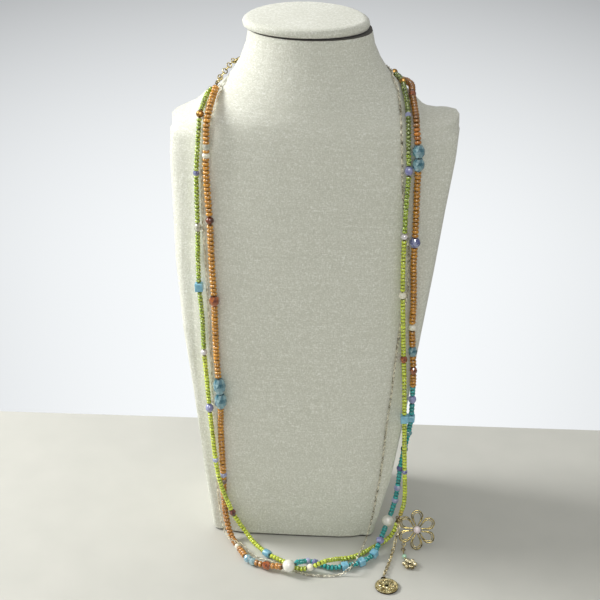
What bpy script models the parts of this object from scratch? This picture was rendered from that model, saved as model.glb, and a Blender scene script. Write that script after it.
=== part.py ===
# Belly chain of two bead strings and a fine gold chain, worn by a plain linen neck bust
import math

import bmesh
import bpy
from mathutils import Matrix, Vector

MM = 0.001

# Neck bust, widths and depths as half widths from its middle plane
TORSO_HEIGHT = 0.2470
NECK_HEIGHT = 0.0486
BASE_HALF = 0.0476
SHOULDER_HALF = 0.0772
NECK_HALF = 0.0324
CHEST_FRONT = 0.0420
CHEST_BACK = 0.0350
NECK_FRONT = 0.0226
NECK_BACK = 0.0330
SHOULDER_LEAN = 0.0064
NECK_LEAN = 0.0030
CAP_HEIGHT = 0.0052
CAP_SHIFT = -0.0023
CAP_LIP = 0.0009
CAP_SEAM = 0.0004
BUST_SIDES = 32

# Bead strings and the thread that carries them
ORANGE_RADIUS = 0.0020
LIME_RADIUS = 0.0015
CHAIN_RADIUS = 0.00045
THREAD_RADIUS = 0.0005
BORE_RADIUS = 0.00085
BEAD_GAP = 0.0003
BEND_ROOM = 2.0
BARE_END = 0.0022
BARE_BACK = 0.0042
BARE_PENDANT = 0.0026
ORANGE_STEP = 0.016
LIME_STEP = 0.016
CHAIN_STEP = 0.0140
SAG = 0.00028
LINK_SINK = 0.00006
FEELER = 0.0006

# Rings, extender, clasp and pendants
FRONT_RING_RADIUS = 0.0022
BACK_RING_RADIUS = 0.0022
RING_WIRE = 0.00045
PENDANT_RING_RADIUS = 0.0020
PENDANT_RING_WIRE = 0.0004
EXTENDER_WIRE = 0.00032
EXTENDER_PITCH = 0.0022
CLASP_LENGTH = 0.0094
CLASP_WIDTH = 0.0052
CLASP_WIRE = 0.0006
PETALS = 6
PETAL_LENGTH = 0.0112
PETAL_WIDTH = 0.0064
PETAL_WIRE = 0.00042
PETAL_SHAPE = [(0.15, 0.16), (0.35, 0.44), (0.55, 0.85), (0.75, 1.0), (0.91, 0.68), (0.985, 0.27), (1.0, 0.0)]
SETTING_RADIUS = 0.0021
SETTING_THICKNESS = 0.0014
FLOWER_PEARL = 0.0045
FLOWER_LEAN = 36.0
COIN_RADIUS = 0.0066
COIN_THICKNESS = 0.0012
COIN_RIM = 0.0008
COIN_RELIEF = 0.0003
COIN_BOSS = 0.0019
COIN_BAIL = 0.0011
COIN_BAIL_WIRE = 0.0004
COIN_BAIL_TURN = -0.25
COIN_HOLE = 0.0010
COIN_CHAIN_RADIUS = 0.0008
COIN_CHAIN_STEP = 0.006
CHARM_WIRE = 0.00028
CHARM_PITCH = 0.0019
CHARM_RADIUS = 0.0044
CHARM_HOLE = 0.0011
CHARM_THICKNESS = 0.0012
CHARM_DISC = 0.0025
CHARM_GRAINS = 6
CHARM_GRAIN = 0.00135
CHARM_LOOP_SINK = 0.0002
PIN_END = 0.0004
MINT_BORE = 0.00055
MINT_BEAD = 0.0026
TABLE_GAP = 0.0001

# Torso sections, as shares: height, flare from base to shoulder, front depth,
# back depth, lean, and how square the outline is
TORSO_SECTIONS = [
    (0.000, -0.035, 0.919, 0.943, 0.00, 6.0),
    (0.010, 0.000, 0.938, 0.960, 0.00, 6.0),
    (0.162, 0.304, 0.967, 0.971, 0.19, 4.6),
    (0.344, 0.547, 0.990, 0.989, 0.25, 3.8),
    (0.526, 0.723, 1.000, 1.000, 0.30, 3.3),
    (0.688, 0.851, 0.983, 1.000, 0.47, 3.0),
    (0.830, 0.936, 0.940, 1.000, 0.72, 2.7),
    (0.939, 1.000, 0.876, 1.000, 0.94, 2.5),
    (1.000, 0.993, 0.824, 0.994, 1.00, 2.35),
]
# Neck sections, as shares of the way from the neck's own size out to the shoulder's
NECK_SECTIONS = [
    (0.103, 0.933, 0.900, 0.97, 2.25),
    (0.165, 0.772, 0.817, 0.88, 2.15),
    (0.226, 0.571, 0.733, 0.74, 2.1),
    (0.309, 0.426, 0.633, 0.59, 2.0),
    (0.412, 0.304, 0.508, 0.44, 2.0),
    (0.535, 0.196, 0.367, 0.29, 2.0),
    (0.679, 0.103, 0.217, 0.18, 2.0),
    (0.844, 0.031, 0.083, 0.06, 2.0),
    (1.000, 0.000, 0.000, 0.00, 2.0),
]

# Accent beads: diameter and length in millimetres, sides, outline, colour, roughness
BEAD_KINDS = {
    "brown_round": (4.4, 4.1, 10, "round", (0.24, 0.08, 0.02), 0.15),
    "amber_faceted": (5.8, 5.4, 10, "facet", (0.60, 0.22, 0.05), 0.05),
    "turquoise_large": (7.2, 8.9, 10, "facet", (0.25, 0.65, 0.75), 0.05),
    "turquoise": (6.6, 6.4, 10, "facet", (0.25, 0.65, 0.75), 0.05),
    "turquoise_small": (5.0, 5.6, 10, "facet", (0.25, 0.65, 0.75), 0.05),
    "cream_small": (3.8, 3.4, 10, "round", (0.85, 0.80, 0.62), 0.35),
    "cream_round": (4.3, 4.0, 10, "round", (0.85, 0.80, 0.62), 0.35),
    "blue_crystal": (4.8, 4.4, 10, "facet", (0.35, 0.65, 0.80), 0.05),
    "amber_dark": (5.2, 4.8, 10, "facet", (0.35, 0.12, 0.04), 0.08),
    "amber_small": (4.0, 4.0, 10, "facet", (0.40, 0.16, 0.05), 0.08),
    "amber_red": (4.2, 4.2, 10, "facet", (0.40, 0.08, 0.03), 0.08),
    "brown_crystal": (4.2, 4.2, 10, "facet", (0.32, 0.12, 0.05), 0.08),
    "brown_bicone": (4.2, 4.0, 10, "bicone", (0.30, 0.14, 0.06), 0.10),
    "pearl_large": (7.5, 7.2, 12, "round", (0.86, 0.82, 0.74), 0.20),
    "pearl_small": (3.6, 3.4, 10, "round", (0.86, 0.84, 0.80), 0.20),
    "cube": (4.0, 3.9, 4, "cube", (0.38, 0.72, 0.82), 0.20),
    "cube_large": (4.4, 4.6, 4, "cube", (0.38, 0.72, 0.82), 0.20),
    "barrel": (4.4, 4.6, 10, "round", (0.38, 0.72, 0.82), 0.20),
    "purple_star": (5.2, 4.4, 10, "facet", (0.35, 0.38, 0.68), 0.25),
    "purple_oval": (4.5, 5.0, 10, "round", (0.48, 0.44, 0.72), 0.25),
    "purple_rondelle": (6.2, 4.8, 10, "facet", (0.45, 0.42, 0.75), 0.10),
    "bronze_round": (4.2, 4.0, 10, "round", (0.45, 0.30, 0.12), 0.20),
    "clear_crystal": (4.0, 4.0, 10, "facet", (0.75, 0.78, 0.78), 0.05),
}

# Route points in millimetres, with the accent bead that is threaded there
ORANGE_LEFT = [
    (-45.4, -6.9, 265.8, ""), (-46.1, -10.2, 264.3, ""), (-46.9, -16.2, 261.3, ""),
    (-47.7, -24.2, 257.9, ""), (-48.6, -29.4, 252.0, ""), (-48.7, -31.3, 242.5, ""),
    (-48.8, -33.0, 230.4, ""), (-48.4, -33.8, 219.0, ""), (-46.8, -36.6, 200.5, "brown_round"),
    (-46.2, -37.9, 183.9, ""), (-45.3, -39.4, 168.0, ""), (-44.5, -40.9, 155.0, "amber_faceted"),
    (-44.2, -40.5, 136.9, ""), (-43.4, -41.2, 116.0, ""), (-42.0, -43.0, 103.0, "turquoise_large"),
    (-41.4, -43.1, 93.6, "turquoise_large"), (-41.8, -41.2, 77.0, ""), (-41.3, -40.8, 59.4, ""),
    (-40.6, -40.6, 42.1, ""), (-40.6, -40.2, 26.4, ""), (-39.7, -40.0, 15.7, ""),
    (-37.9, -42.5, 7.6, ""), (-35.0, -47.2, 2.6, ""), (-31.1, -54.1, 2.2, "cream_small"),
    (-24.2, -66.0, 2.7, "blue_crystal"), (-18.7, -69.2, 2.1, ""), (-13.0, -71.6, 2.8, "amber_dark"),
    (-6.7, -73.7, 4.2, ""), (-0.3, -74.8, 5.7, "pearl_large"),
]
ORANGE_RIGHT = [
    (-0.3, -74.8, 5.7, "pearl_large"), (4.5, -71.2, 5.7, ""), (9.4, -65.9, 2.7, ""),
    (16.7, -66.9, 2.1, ""), (23.1, -70.0, 2.1, ""), (31.6, -68.2, 2.2, "cube"),
    (40.9, -63.6, 2.2, "cube"), (48.0, -56.6, 3.2, "cube"), (51.3, -47.9, 6.2, "purple_star"),
    (55.7, -34.0, 10.4, "pearl_large"), (58.4, -33.5, 20.0, ""), (60.2, -33.0, 31.8, ""),
    (61.2, -32.6, 46.9, ""), (62.5, -32.4, 58.5, ""), (64.6, -32.0, 69.2, ""),
    (65.8, -32.0, 80.7, "cube"), (65.8, -32.3, 93.2, "purple_oval"), (65.4, -33.6, 112.6, "brown_crystal"),
    (64.4, -32.4, 124.2, "turquoise_small"), (63.3, -33.2, 139.5, "cream_round"),
    (63.3, -33.7, 152.9, ""), (62.8, -34.2, 165.9, ""), (62.0, -34.6, 178.6, ""),
    (62.0, -35.3, 191.5, "purple_rondelle"), (62.0, -33.6, 203.8, ""), (61.7, -32.6, 219.3, ""),
    (61.7, -32.6, 234.6, "turquoise"), (61.5, -31.6, 241.4, "turquoise"), (60.4, -29.7, 248.0, ""),
    (59.7, -25.8, 255.3, ""), (58.8, -16.4, 259.7, ""), (57.4, -6.2, 263.8, "amber_red"),
    (56.8, 4.0, 265.8, ""), (50.0, 19.9, 263.4, ""), (33.2, 31.7, 261.7, ""), (10.2, 36.5, 261.0, ""),
    (-14.6, 35.1, 261.3, ""), (-28.9, 29.2, 262.6, ""), (-33.0, 23.4, 266.6, ""), (-33.0, 20.7, 269.5, ""),
]
LIME_LEFT = [
    (-46.8, -5.2, 264.9, ""), (-50.4, -7.6, 261.0, ""), (-51.4, -12.8, 258.9, ""),
    (-52.7, -22.8, 254.7, "bronze_round"), (-53.1, -26.7, 247.3, ""), (-53.8, -28.4, 236.8, ""),
    (-54.4, -29.8, 225.6, ""), (-54.1, -31.8, 209.9, ""), (-53.6, -34.0, 195.2, "clear_crystal"),
    (-53.8, -34.6, 179.1, ""), (-53.0, -37.6, 161.5, "cube_large"), (-51.7, -37.0, 143.4, ""),
    (-50.9, -38.0, 121.3, "pearl_small"), (-49.5, -38.5, 103.9, ""), (-48.1, -40.1, 86.8, "purple_oval"),
    (-46.5, -41.1, 69.4, ""), (-44.6, -42.7, 52.2, ""), (-42.7, -44.1, 41.6, ""),
    (-40.7, -44.5, 34.3, ""), (-38.0, -44.2, 26.6, ""), (-35.1, -43.5, 18.3, "brown_bicone"),
    (-31.8, -43.0, 11.2, ""), (-27.3, -43.8, 5.0, ""), (-23.6, -47.6, 2.2, ""),
    (-18.6, -53.9, 1.7, ""), (-13.6, -59.8, 2.3, "barrel"), (-7.9, -63.6, 1.7, ""),
    (-1.4, -67.4, 1.7, ""), (5.0, -71.8, 1.7, ""), (12.0, -72.7, 3.6, "cream_round"),
    (18.1, -71.6, 6.4, ""), (23.2, -66.4, 4.9, ""), (28.8, -61.2, 1.9, ""),
    (34.8, -59.1, 1.6, ""), (41.1, -54.8, 1.6, ""), (46.3, -49.7, 1.6, ""), (50.9, -45.4, 1.7, ""),
    (55.5, -41.4, 2.4, ""), (59.0, -40.0, 6.5, ""), (61.6, -37.8, 14.7, ""),
]
LIME_RIGHT = [
    (61.8, -37.8, 15.3, ""), (63.4, -38.0, 20.6, ""), (64.6, -37.9, 28.4, ""), (63.8, -38.0, 45.8, ""),
    (63.0, -37.9, 59.4, ""), (62.4, -37.6, 71.3, ""), (61.8, -37.4, 83.4, "cube_large"),
    (61.1, -37.2, 98.1, ""), (60.4, -34.8, 109.6, ""), (59.6, -35.5, 120.6, "amber_small"),
    (58.5, -37.0, 137.2, ""), (57.8, -38.0, 149.4, ""), (57.0, -38.0, 161.3, "cream_round"),
    (56.6, -37.5, 173.2, ""), (56.2, -37.5, 185.6, ""), (56.3, -37.5, 195.6, "pearl_small"),
    (56.4, -36.1, 213.7, ""), (56.9, -33.4, 231.2, "purple_oval"), (56.2, -31.8, 240.4, ""),
    (55.9, -30.0, 249.1, ""), (55.4, -25.0, 257.0, ""), (54.6, -14.3, 262.2, ""), (53.2, -7.2, 266.2, ""),
    (52.3, 0.0, 268.0, ""), (49.5, 12.2, 267.9, ""), (38.5, 25.3, 267.5, ""), (21.0, 33.7, 266.9, ""),
    (0.4, 35.7, 266.8, ""), (-17.4, 31.8, 267.4, ""), (-27.4, 26.2, 268.8, ""), (-31.8, 21.4, 271.2, ""),
]
CHAIN_LEFT = [
    (-44.1, -6.6, 265.4), (-43.4, -8.9, 264.2), (-44.2, -14.2, 260.7), (-45.6, -22.4, 255.8),
    (-46.7, -25.6, 252.7),
    (-47.8, -27.3, 248.8), (-50.0, -28.7, 238.2), (-51.5, -29.9, 226.3), (-51.3, -32.0, 210.1),
    (-50.6, -33.9, 192.5), (-49.6, -35.7, 175.6), (-48.6, -36.8, 158.2), (-47.8, -37.8, 135.3),
    (-46.9, -38.2, 115.4), (-46.4, -38.3, 96.1), (-46.1, -38.1, 77.6), (-45.4, -37.9, 60.0),
    (-44.6, -37.7, 42.0), (-44.2, -37.4, 25.0), (-42.0, -42.4, 14.5), (-40.4, -45.2, 8.6),
    (-37.4, -49.0, 4.4), (-32.3, -53.8, 5.2), (-27.7, -55.3, 4.0), (-23.4, -58.6, 0.8),
    (-18.1, -62.8, 0.6), (-10.5, -65.0, 0.6), (-3.2, -69.8, 0.6), (3.9, -73.3, 0.6),
    (10.8, -76.0, 0.6),
]
CHAIN_RIGHT = [
    (11.2, -76.1, 0.6), (17.0, -76.4, 0.6), (22.8, -75.9, 0.6), (27.8, -74.8, 0.8), (32.0, -73.9, 2.6),
    (34.8, -72.6, 5.1), (37.2, -67.3, 5.1), (39.6, -58.6, 4.2), (42.1, -48.0, 3.2), (43.9, -42.0, 5.6),
    (45.3, -41.2, 12.7), (46.8, -37.4, 18.1), (48.4, -36.2, 31.1), (50.2, -36.2, 45.9), (51.2, -36.4, 60.6),
    (52.1, -36.9, 79.0), (53.6, -36.6, 94.7), (54.7, -36.4, 113.0), (55.7, -36.1, 128.5),
    (56.7, -35.7, 142.0), (58.2, -35.0, 150.9), (59.6, -34.3, 160.4), (59.4, -34.2, 175.9),
    (58.9, -34.0, 187.6), (57.6, -34.2, 196.9), (55.7, -34.3, 207.3), (54.4, -33.8, 217.8),
    (53.4, -32.7, 233.0), (52.6, -30.8, 245.4), (51.9, -26.8, 254.3),
    (50.7, -13.3, 263.7), (49.4, -7.5, 267.7), (46.9, -4.2, 271.7), (46.5, 3.0, 272.5), (41.0, 17.2, 272.5),
    (25.4, 29.8, 272.3), (4.1, 34.5, 272.2), (-16.2, 30.4, 272.5), (-26.4, 24.2, 273.1), (-30.8, 20.4, 273.1),
]
COIN_CHAIN_ROUTE = [
    (62.0, -40.4, 13.8), (61.9, -42.2, 11.0), (60.8, -44.3, 6.8), (59.6, -48.2, 2.6), (58.6, -53.0, 1.0),
    (57.0, -61.0, 1.0), (55.2, -68.0, 1.0), (53.8, -73.8, 1.0),
]
CHARM_CHAIN_ROUTE = [(65.6, -44.9, 4.1), (65.2, -46.9, 2.7), (65.0, -49.2, 1.8), (65.1, -51.4, 1.7)]
CHARM_FIRST = (1.0, 0.0, 0.0)
EXTENDER_ROUTE = [(-44.1, -2.5, 268.2), (-42.5, -0.2, 270.1), (-40.9, 2.5, 271.8),
                  (-39.5, 5.2, 273.2), (-38.0, 8.3, 274.1)]
EXTENDER_FIRST = (-0.561, 0.622, -0.552)
EXTENDER_LAST = (0.637, -0.22, 0.722)

# Places of the rings and pendants, in millimetres
BOTTOM_PEARL = (-0.3, -74.8, 5.7)
BOTTOM_PEARL_AXIS = (0.94, 0.22, 0.12)
FRONT_RING_AT = (-44.9, -4.2, 267.0)
FRONT_RING_NORMAL = (-0.75, -0.10, 0.65)
BACK_RING_AT = (-33.0, 18.6, 272.0)
BACK_RING_NORMAL = (-0.64, 0.40, 0.66)
CLASP_AT = (-36.2, 11.9, 273.6)
CLASP_NORMAL = (-0.66, 0.32, 0.68)
CLASP_ALONG = (-0.44, -0.88, 0.12)
PENDANT_RING_AT = (62.0, -37.7, 14.8)
PENDANT_RING_NORMAL = (0.45, 0.10, 0.89)
FLOWER_AT = (72.6, -40.8, 9.8)
COIN_AT = (55.4, -82.6)
MINT_AT = (65.6, -55.6, 1.5)
CHARM_AT = (68.6, -62.4)


def clear_scene():
    for item in list(bpy.data.objects):
        bpy.data.objects.remove(item, do_unlink=True)


clear_scene()
parts = bpy.data.collections.new("belly_chain_on_neck_bust")
cutters = bpy.data.collections.new("cutters")
bpy.context.scene.collection.children.link(parts)
bpy.context.scene.collection.children.link(cutters)


def material(name, colour, roughness, metallic=0.0):
    found = bpy.data.materials.get(name)
    if found:
        return found
    made = bpy.data.materials.new(name)
    made.use_nodes = True
    shader = made.node_tree.nodes["Principled BSDF"]
    shader.inputs["Base Color"].default_value = (*colour, 1.0)
    shader.inputs["Roughness"].default_value = roughness
    shader.inputs["Metallic"].default_value = metallic
    return made


GOLD = ("gold", (0.72, 0.52, 0.22), 0.25, 1.0)
LINEN = ("linen", (0.72, 0.71, 0.66), 0.9, 0.0)


def place(item, finish, smooth=True):
    """Give an object its material and put it with the parts."""
    item.data.materials.append(material(*finish))
    parts.objects.link(item)
    if smooth and item.type == "MESH":
        item.data.shade_smooth()
        item.data.set_sharp_from_angle(angle=math.radians(35))
    return item


def millimetres(point):
    return Vector(point) * MM


# Neck bust
def section(half_width, front, back, lean, square, height):
    """One level outline of the bust: a rounded shape, squarer towards the base."""
    ring = []
    for k in range(BUST_SIDES):
        turn = 2 * math.pi * k / BUST_SIDES
        c, s = math.cos(turn), math.sin(turn)
        depth = back if s > 0 else front
        x = lean + half_width * math.copysign(abs(c) ** (2 / square), c)
        y = depth * math.copysign(abs(s) ** (2 / square), s)
        ring.append((x, y, height))
    return ring


def between(low, high, share):
    return low + (high - low) * share


def bust_sections():
    rings = []
    for height, flare, front, back, lean, square in TORSO_SECTIONS:
        half_width = between(BASE_HALF, SHOULDER_HALF, flare)
        rings.append(section(half_width, CHEST_FRONT * front, CHEST_BACK * back,
                             SHOULDER_LEAN * lean, square, TORSO_HEIGHT * height))
    top_front = CHEST_FRONT * TORSO_SECTIONS[-1][2]
    top_back = CHEST_BACK * TORSO_SECTIONS[-1][3]
    for height, flare, depth, lean, square in NECK_SECTIONS:
        half_width = between(NECK_HALF, SHOULDER_HALF, flare)
        rings.append(section(half_width, between(NECK_FRONT, top_front, depth),
                             between(NECK_BACK, top_back, depth),
                             between(NECK_LEAN, SHOULDER_LEAN, lean), square,
                             TORSO_HEIGHT + NECK_HEIGHT * height))
    return rings


def loft(name, rings, finish):
    """A closed skin over level rings, with a flat face at each end."""
    shell = bmesh.new()
    rows = [[shell.verts.new(point) for point in ring] for ring in rings]
    count = len(rows[0])
    for low, high in zip(rows, rows[1:]):
        for k in range(count):
            n = (k + 1) % count
            shell.faces.new((low[k], low[n], high[n], high[k]))
    shell.faces.new(rows[0][::-1])
    shell.faces.new(rows[-1])
    mesh = bpy.data.meshes.new(name)
    shell.to_mesh(mesh)
    shell.free()
    return place(bpy.data.objects.new(name, mesh), finish)


def make_bust():
    loft("neck_bust", bust_sections(), LINEN)
    base = TORSO_HEIGHT + NECK_HEIGHT + CAP_SEAM
    rings = []
    for rise, out in ((0.0, -0.6), (0.16, 0.3), (0.45, 1.0), (0.75, 0.7), (0.93, -0.8), (1.0, -3.0)):
        grow = CAP_LIP * out
        rings.append(section(NECK_HALF + grow, NECK_FRONT + grow, NECK_BACK + grow,
                             NECK_LEAN + CAP_SHIFT, 2.0, base + CAP_HEIGHT * rise))
    loft("neck_cap", rings, LINEN)


# Accent beads
def bead_outline(diameter, length, outline):
    """Outline of a drilled bead, from the top of its bore down the outer side."""
    r, h, bore = diameter / 2, length / 2, BORE_RADIUS
    if outline == "round":
        return [(bore, h), (r * 0.72, h * 0.78), (r, 0.0), (r * 0.72, -h * 0.78), (bore, -h)]
    if outline == "facet":
        return [(bore, h), (r * 0.62, h), (r, h * 0.30), (r, -h * 0.30), (r * 0.62, -h), (bore, -h)]
    if outline == "bicone":
        return [(bore, h), (r * 0.5, h), (r, 0.0), (r * 0.5, -h), (bore, -h)]
    corner = r * math.sqrt(2)
    soft = 0.12 * r
    square_bore = bore * math.sqrt(2)
    return [(square_bore, h), (corner - soft, h), (corner, h - soft),
            (corner, soft - h), (corner - soft, -h), (square_bore, -h)]


def turned(name, outline, sides):
    """A mesh that a Screw modifier turns into a closed ring-like solid."""
    shape = bmesh.new()
    points = [shape.verts.new((x, 0.0, z)) for x, z in outline]
    for a, b in zip(points, points[1:] + points[:1]):
        shape.edges.new((a, b))
    mesh = bpy.data.meshes.new(name)
    shape.to_mesh(mesh)
    shape.free()
    item = bpy.data.objects.new(name, mesh)
    screw = item.modifiers.new("turn", "SCREW")
    screw.steps = sides
    screw.render_steps = sides
    screw.use_merge_vertices = True
    screw.merge_threshold = 0.00001
    screw.use_smooth_shade = False
    return item


def bead_turn(along, outline):
    """Rotation that lays a bead's axis along its string, with a cube's face towards the front or up."""
    along = along.normalized()
    guide = Vector((0, -1, 0)) if abs(along.z) > 0.6 else Vector((0, 0, 1))
    side = along.cross(guide).normalized()
    face = side.cross(along).normalized()
    frame = Matrix((side, face, along)).transposed().to_4x4()
    if outline == "cube":
        frame = frame @ Matrix.Rotation(math.radians(45), 4, "Z")
    return frame


def make_bead(name, kind, centre, along):
    diameter, length, sides, outline, colour, roughness = BEAD_KINDS[kind]
    item = turned(name, bead_outline(diameter * MM, length * MM, outline), sides)
    item.matrix_world = Matrix.Translation(centre) @ bead_turn(along, outline)
    return place(item, (kind, colour, roughness, 0.0), smooth=False)


# Strings
def spline(points, steps=12):
    """Dense points of a smooth curve through the route's points, and the place of each of them."""
    line, stops = [], []
    ends = [points[0] * 2 - points[1]] + points + [points[-1] * 2 - points[-2]]
    for a, b, c, d in zip(ends, ends[1:], ends[2:], ends[3:]):
        ab, bc, cd = ((q - p).length ** 0.5 for p, q in ((a, b), (b, c), (c, d)))
        out = ((b - a) / ab - (c - a) / (ab + bc) + (c - b) / bc) * bc
        into = ((c - b) / bc - (d - b) / (bc + cd) + (d - c) / cd) * bc
        stops.append(len(line))
        for k in range(steps):
            t = k / steps
            line.append(b * (2 * t**3 - 3 * t**2 + 1) + out * (t**3 - 2 * t**2 + t)
                        + c * (3 * t**2 - 2 * t**3) + into * (t**3 - t**2))
    stops.append(len(line))
    line.append(points[-1])
    return line, stops


class Route:
    """A smooth route that is read by its length from the start."""

    def __init__(self, rows):
        self.points = [millimetres(row[:3]) for row in rows]
        self.line, stops = spline(self.points)
        self.lengths = [0.0]
        for a, b in zip(self.line, self.line[1:]):
            self.lengths.append(self.lengths[-1] + (b - a).length)
        self.stops = [self.lengths[k] for k in stops]
        self.total = self.lengths[-1]

    def at(self, length):
        length = min(max(length, 0.0), self.total)
        k = 0
        while k < len(self.line) - 2 and self.lengths[k + 1] < length:
            k += 1
        share = (length - self.lengths[k]) / (self.lengths[k + 1] - self.lengths[k])
        return self.line[k].lerp(self.line[k + 1], share)

    def along(self, length):
        return (self.at(length + FEELER) - self.at(length - FEELER)).normalized()


def tube(name, stations, radius, finish):
    """A tube through stations of a point and its radius, as a curve with filled ends."""
    curve = bpy.data.curves.new(name, "CURVE")
    curve.dimensions = "3D"
    curve.bevel_depth = radius
    curve.bevel_resolution = 2
    curve.use_fill_caps = True
    line = curve.splines.new("POLY")
    line.points.add(len(stations) - 1)
    for point, (place_at, thick) in zip(line.points, stations):
        point.co = (*place_at, 1.0)
        point.radius = thick / radius
    item = bpy.data.objects.new(name, curve)
    return place(item, finish, smooth=False)


def bends(route, start, end, longest):
    """Lengths between start and end where a straight run would leave the route by more than the sag."""
    a, b = route.at(start), route.at(end)
    off = max((route.at(between(start, end, t)) - a.lerp(b, t)).length for t in (0.25, 0.5, 0.75))
    if end - start <= longest and off <= SAG:
        return [end]
    middle = (start + end) / 2
    return bends(route, start, middle, longest) + bends(route, middle, end, longest)


class Hold:
    """A threaded bead on a route: where it sits, its bore's line, and how far it keeps the string off."""

    def __init__(self, route, row, stop, radius):
        self.stop = stop
        self.centre = route.at(stop)
        self.axis = route.along(stop)
        if row[:3] == BOTTOM_PEARL[:3]:
            self.axis = Vector(BOTTOM_PEARL_AXIS).normalized()
        self.half = BEAD_KINDS[row[3]][1] * MM / 2
        self.before = self.half + 2 * BEAD_GAP + self.room(route, -1, radius)
        self.after = self.half + 2 * BEAD_GAP + self.room(route, 1, radius)

    def room(self, route, way, radius):
        """Extra gap where the route bends away from the bore."""
        bend = self.axis.cross(route.along(self.stop + way * (self.half + 2 * BEAD_GAP)))
        return bend.length * radius * BEND_ROOM


def make_string(name, rows, radius, step, bare_start, bare_end, finish):
    """A string of small beads: full round between the accent beads, a thread through their bores."""
    route = Route(rows)
    holds = [Hold(route, row, stop, radius) for row, stop in zip(rows, route.stops) if row[3]]
    starts = [bare_start] + [hold.stop + hold.after for hold in holds]
    ends = [hold.stop - hold.before for hold in holds] + [route.total - bare_end]
    stations = []
    if not rows[0][3]:
        stations.append((route.at(0.0), THREAD_RADIUS))
    for k, (start, end) in enumerate(zip(starts, ends)):
        if end - start > radius:
            if k == 0 and not rows[0][3]:
                stations.append((route.at(start - BEAD_GAP), THREAD_RADIUS))
            for length in [start] + bends(route, start, end, step):
                stations.append((route.at(length), radius))
            if k == len(holds) and not rows[-1][3]:
                stations.append((route.at(end + BEAD_GAP), THREAD_RADIUS))
        if k < len(holds):
            hold = holds[k]
            reach = hold.axis * (hold.half + BEAD_GAP)
            low, high = hold.centre - reach, hold.centre + reach
            if hold.stop == 0.0:
                low = hold.centre + hold.axis * BEAD_GAP / 2
            if hold.stop == route.total:
                high = hold.centre - hold.axis * BEAD_GAP / 2
            stations.append((low, THREAD_RADIUS))
            stations.append((high, THREAD_RADIUS))
    if not rows[-1][3]:
        stations.append((route.at(route.total), THREAD_RADIUS))
    tube(name, stations, radius, finish)
    return holds


def make_accents(prefix, rows, holds):
    counts = {}
    kinds = [row[3] for row in rows if row[3]]
    for kind, hold in zip(kinds, holds):
        counts[kind] = counts.get(kind, 0) + 1
        tail = "_%d" % counts[kind] if counts[kind] > 1 else ""
        make_bead(prefix + kind + tail, kind, hold.centre, hold.axis)


def make_strings():
    orange = ("orange_glass", (0.62, 0.30, 0.06), 0.25, 0.0)
    lime = ("lime_glass", (0.45, 0.55, 0.10), 0.25, 0.0)
    holds = make_string("orange_string_left", ORANGE_LEFT, ORANGE_RADIUS, ORANGE_STEP, BARE_END, 0.0, orange)
    make_accents("ol_", ORANGE_LEFT[:-1], holds[:-1])
    holds = make_string("orange_string_right", ORANGE_RIGHT, ORANGE_RADIUS, ORANGE_STEP, 0.0, BARE_BACK,
                        orange)
    make_accents("or_", ORANGE_RIGHT, holds)
    holds = make_string("lime_string_left", LIME_LEFT, LIME_RADIUS, LIME_STEP, BARE_END, BARE_PENDANT, lime)
    make_accents("ll_", LIME_LEFT, holds)
    holds = make_string("lime_string_right", LIME_RIGHT, LIME_RADIUS, LIME_STEP, BARE_PENDANT, BARE_END, lime)
    make_accents("lr_", LIME_RIGHT, holds)


def make_fine_chain(name, rows):
    route = Route(rows)
    lengths = [0.0] + bends(route, 0.0, route.total, CHAIN_STEP)
    tube(name, [(route.at(length), CHAIN_RADIUS) for length in lengths], CHAIN_RADIUS, GOLD)


# Rings and links
def add_ring(shape, centre, normal, radius, wire, sides, wire_sides, stretch=1.0, long_way=None):
    """Add a wire ring to a bmesh, or an oval one that is longer along its long way."""
    normal = Vector(normal).normalized()
    side = Vector(long_way) if long_way else normal.orthogonal()
    side = (side - normal * side.dot(normal)).normalized()
    other = normal.cross(side)
    loops = []
    for k in range(sides):
        turn = 2 * math.pi * k / sides
        c, s = math.cos(turn), math.sin(turn)
        middle = Vector(centre) + (side * c * stretch + other * s) * radius
        out = (side * c + other * s * stretch).normalized()
        loop = []
        for j in range(wire_sides):
            round_wire = 2 * math.pi * j / wire_sides
            away = out * math.cos(round_wire) + normal * math.sin(round_wire)
            loop.append(shape.verts.new(middle + away * wire))
        loops.append(loop)
    for loop, following in zip(loops, loops[1:] + loops[:1]):
        for j in range(wire_sides):
            n = (j + 1) % wire_sides
            shape.faces.new((loop[j], loop[n], following[n], following[j]))


def finish_mesh(name, shape):
    bmesh.ops.remove_doubles(shape, verts=shape.verts, dist=0.000002)
    bmesh.ops.recalc_face_normals(shape, faces=shape.faces)
    mesh = bpy.data.meshes.new(name)
    shape.to_mesh(mesh)
    shape.free()
    return bpy.data.objects.new(name, mesh)


def make_ring(name, centre, normal, radius, wire, stretch=1.0, long_way=None):
    shape = bmesh.new()
    add_ring(shape, centre, normal, radius, wire, 12, 6, stretch, long_way)
    return place(finish_mesh(name, shape), GOLD)


def unite(item, other):
    """Join a cutter body to an object, so that both are one solid."""
    other.hide_render = True
    other.display_type = "WIRE"
    cutters.objects.link(other)
    join = item.modifiers.new("unite", "BOOLEAN")
    join.operation = "UNION"
    join.solver = "EXACT"
    join.object = other


def square_to(normal, along):
    return (normal - along * normal.dot(along)).normalized()


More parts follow.
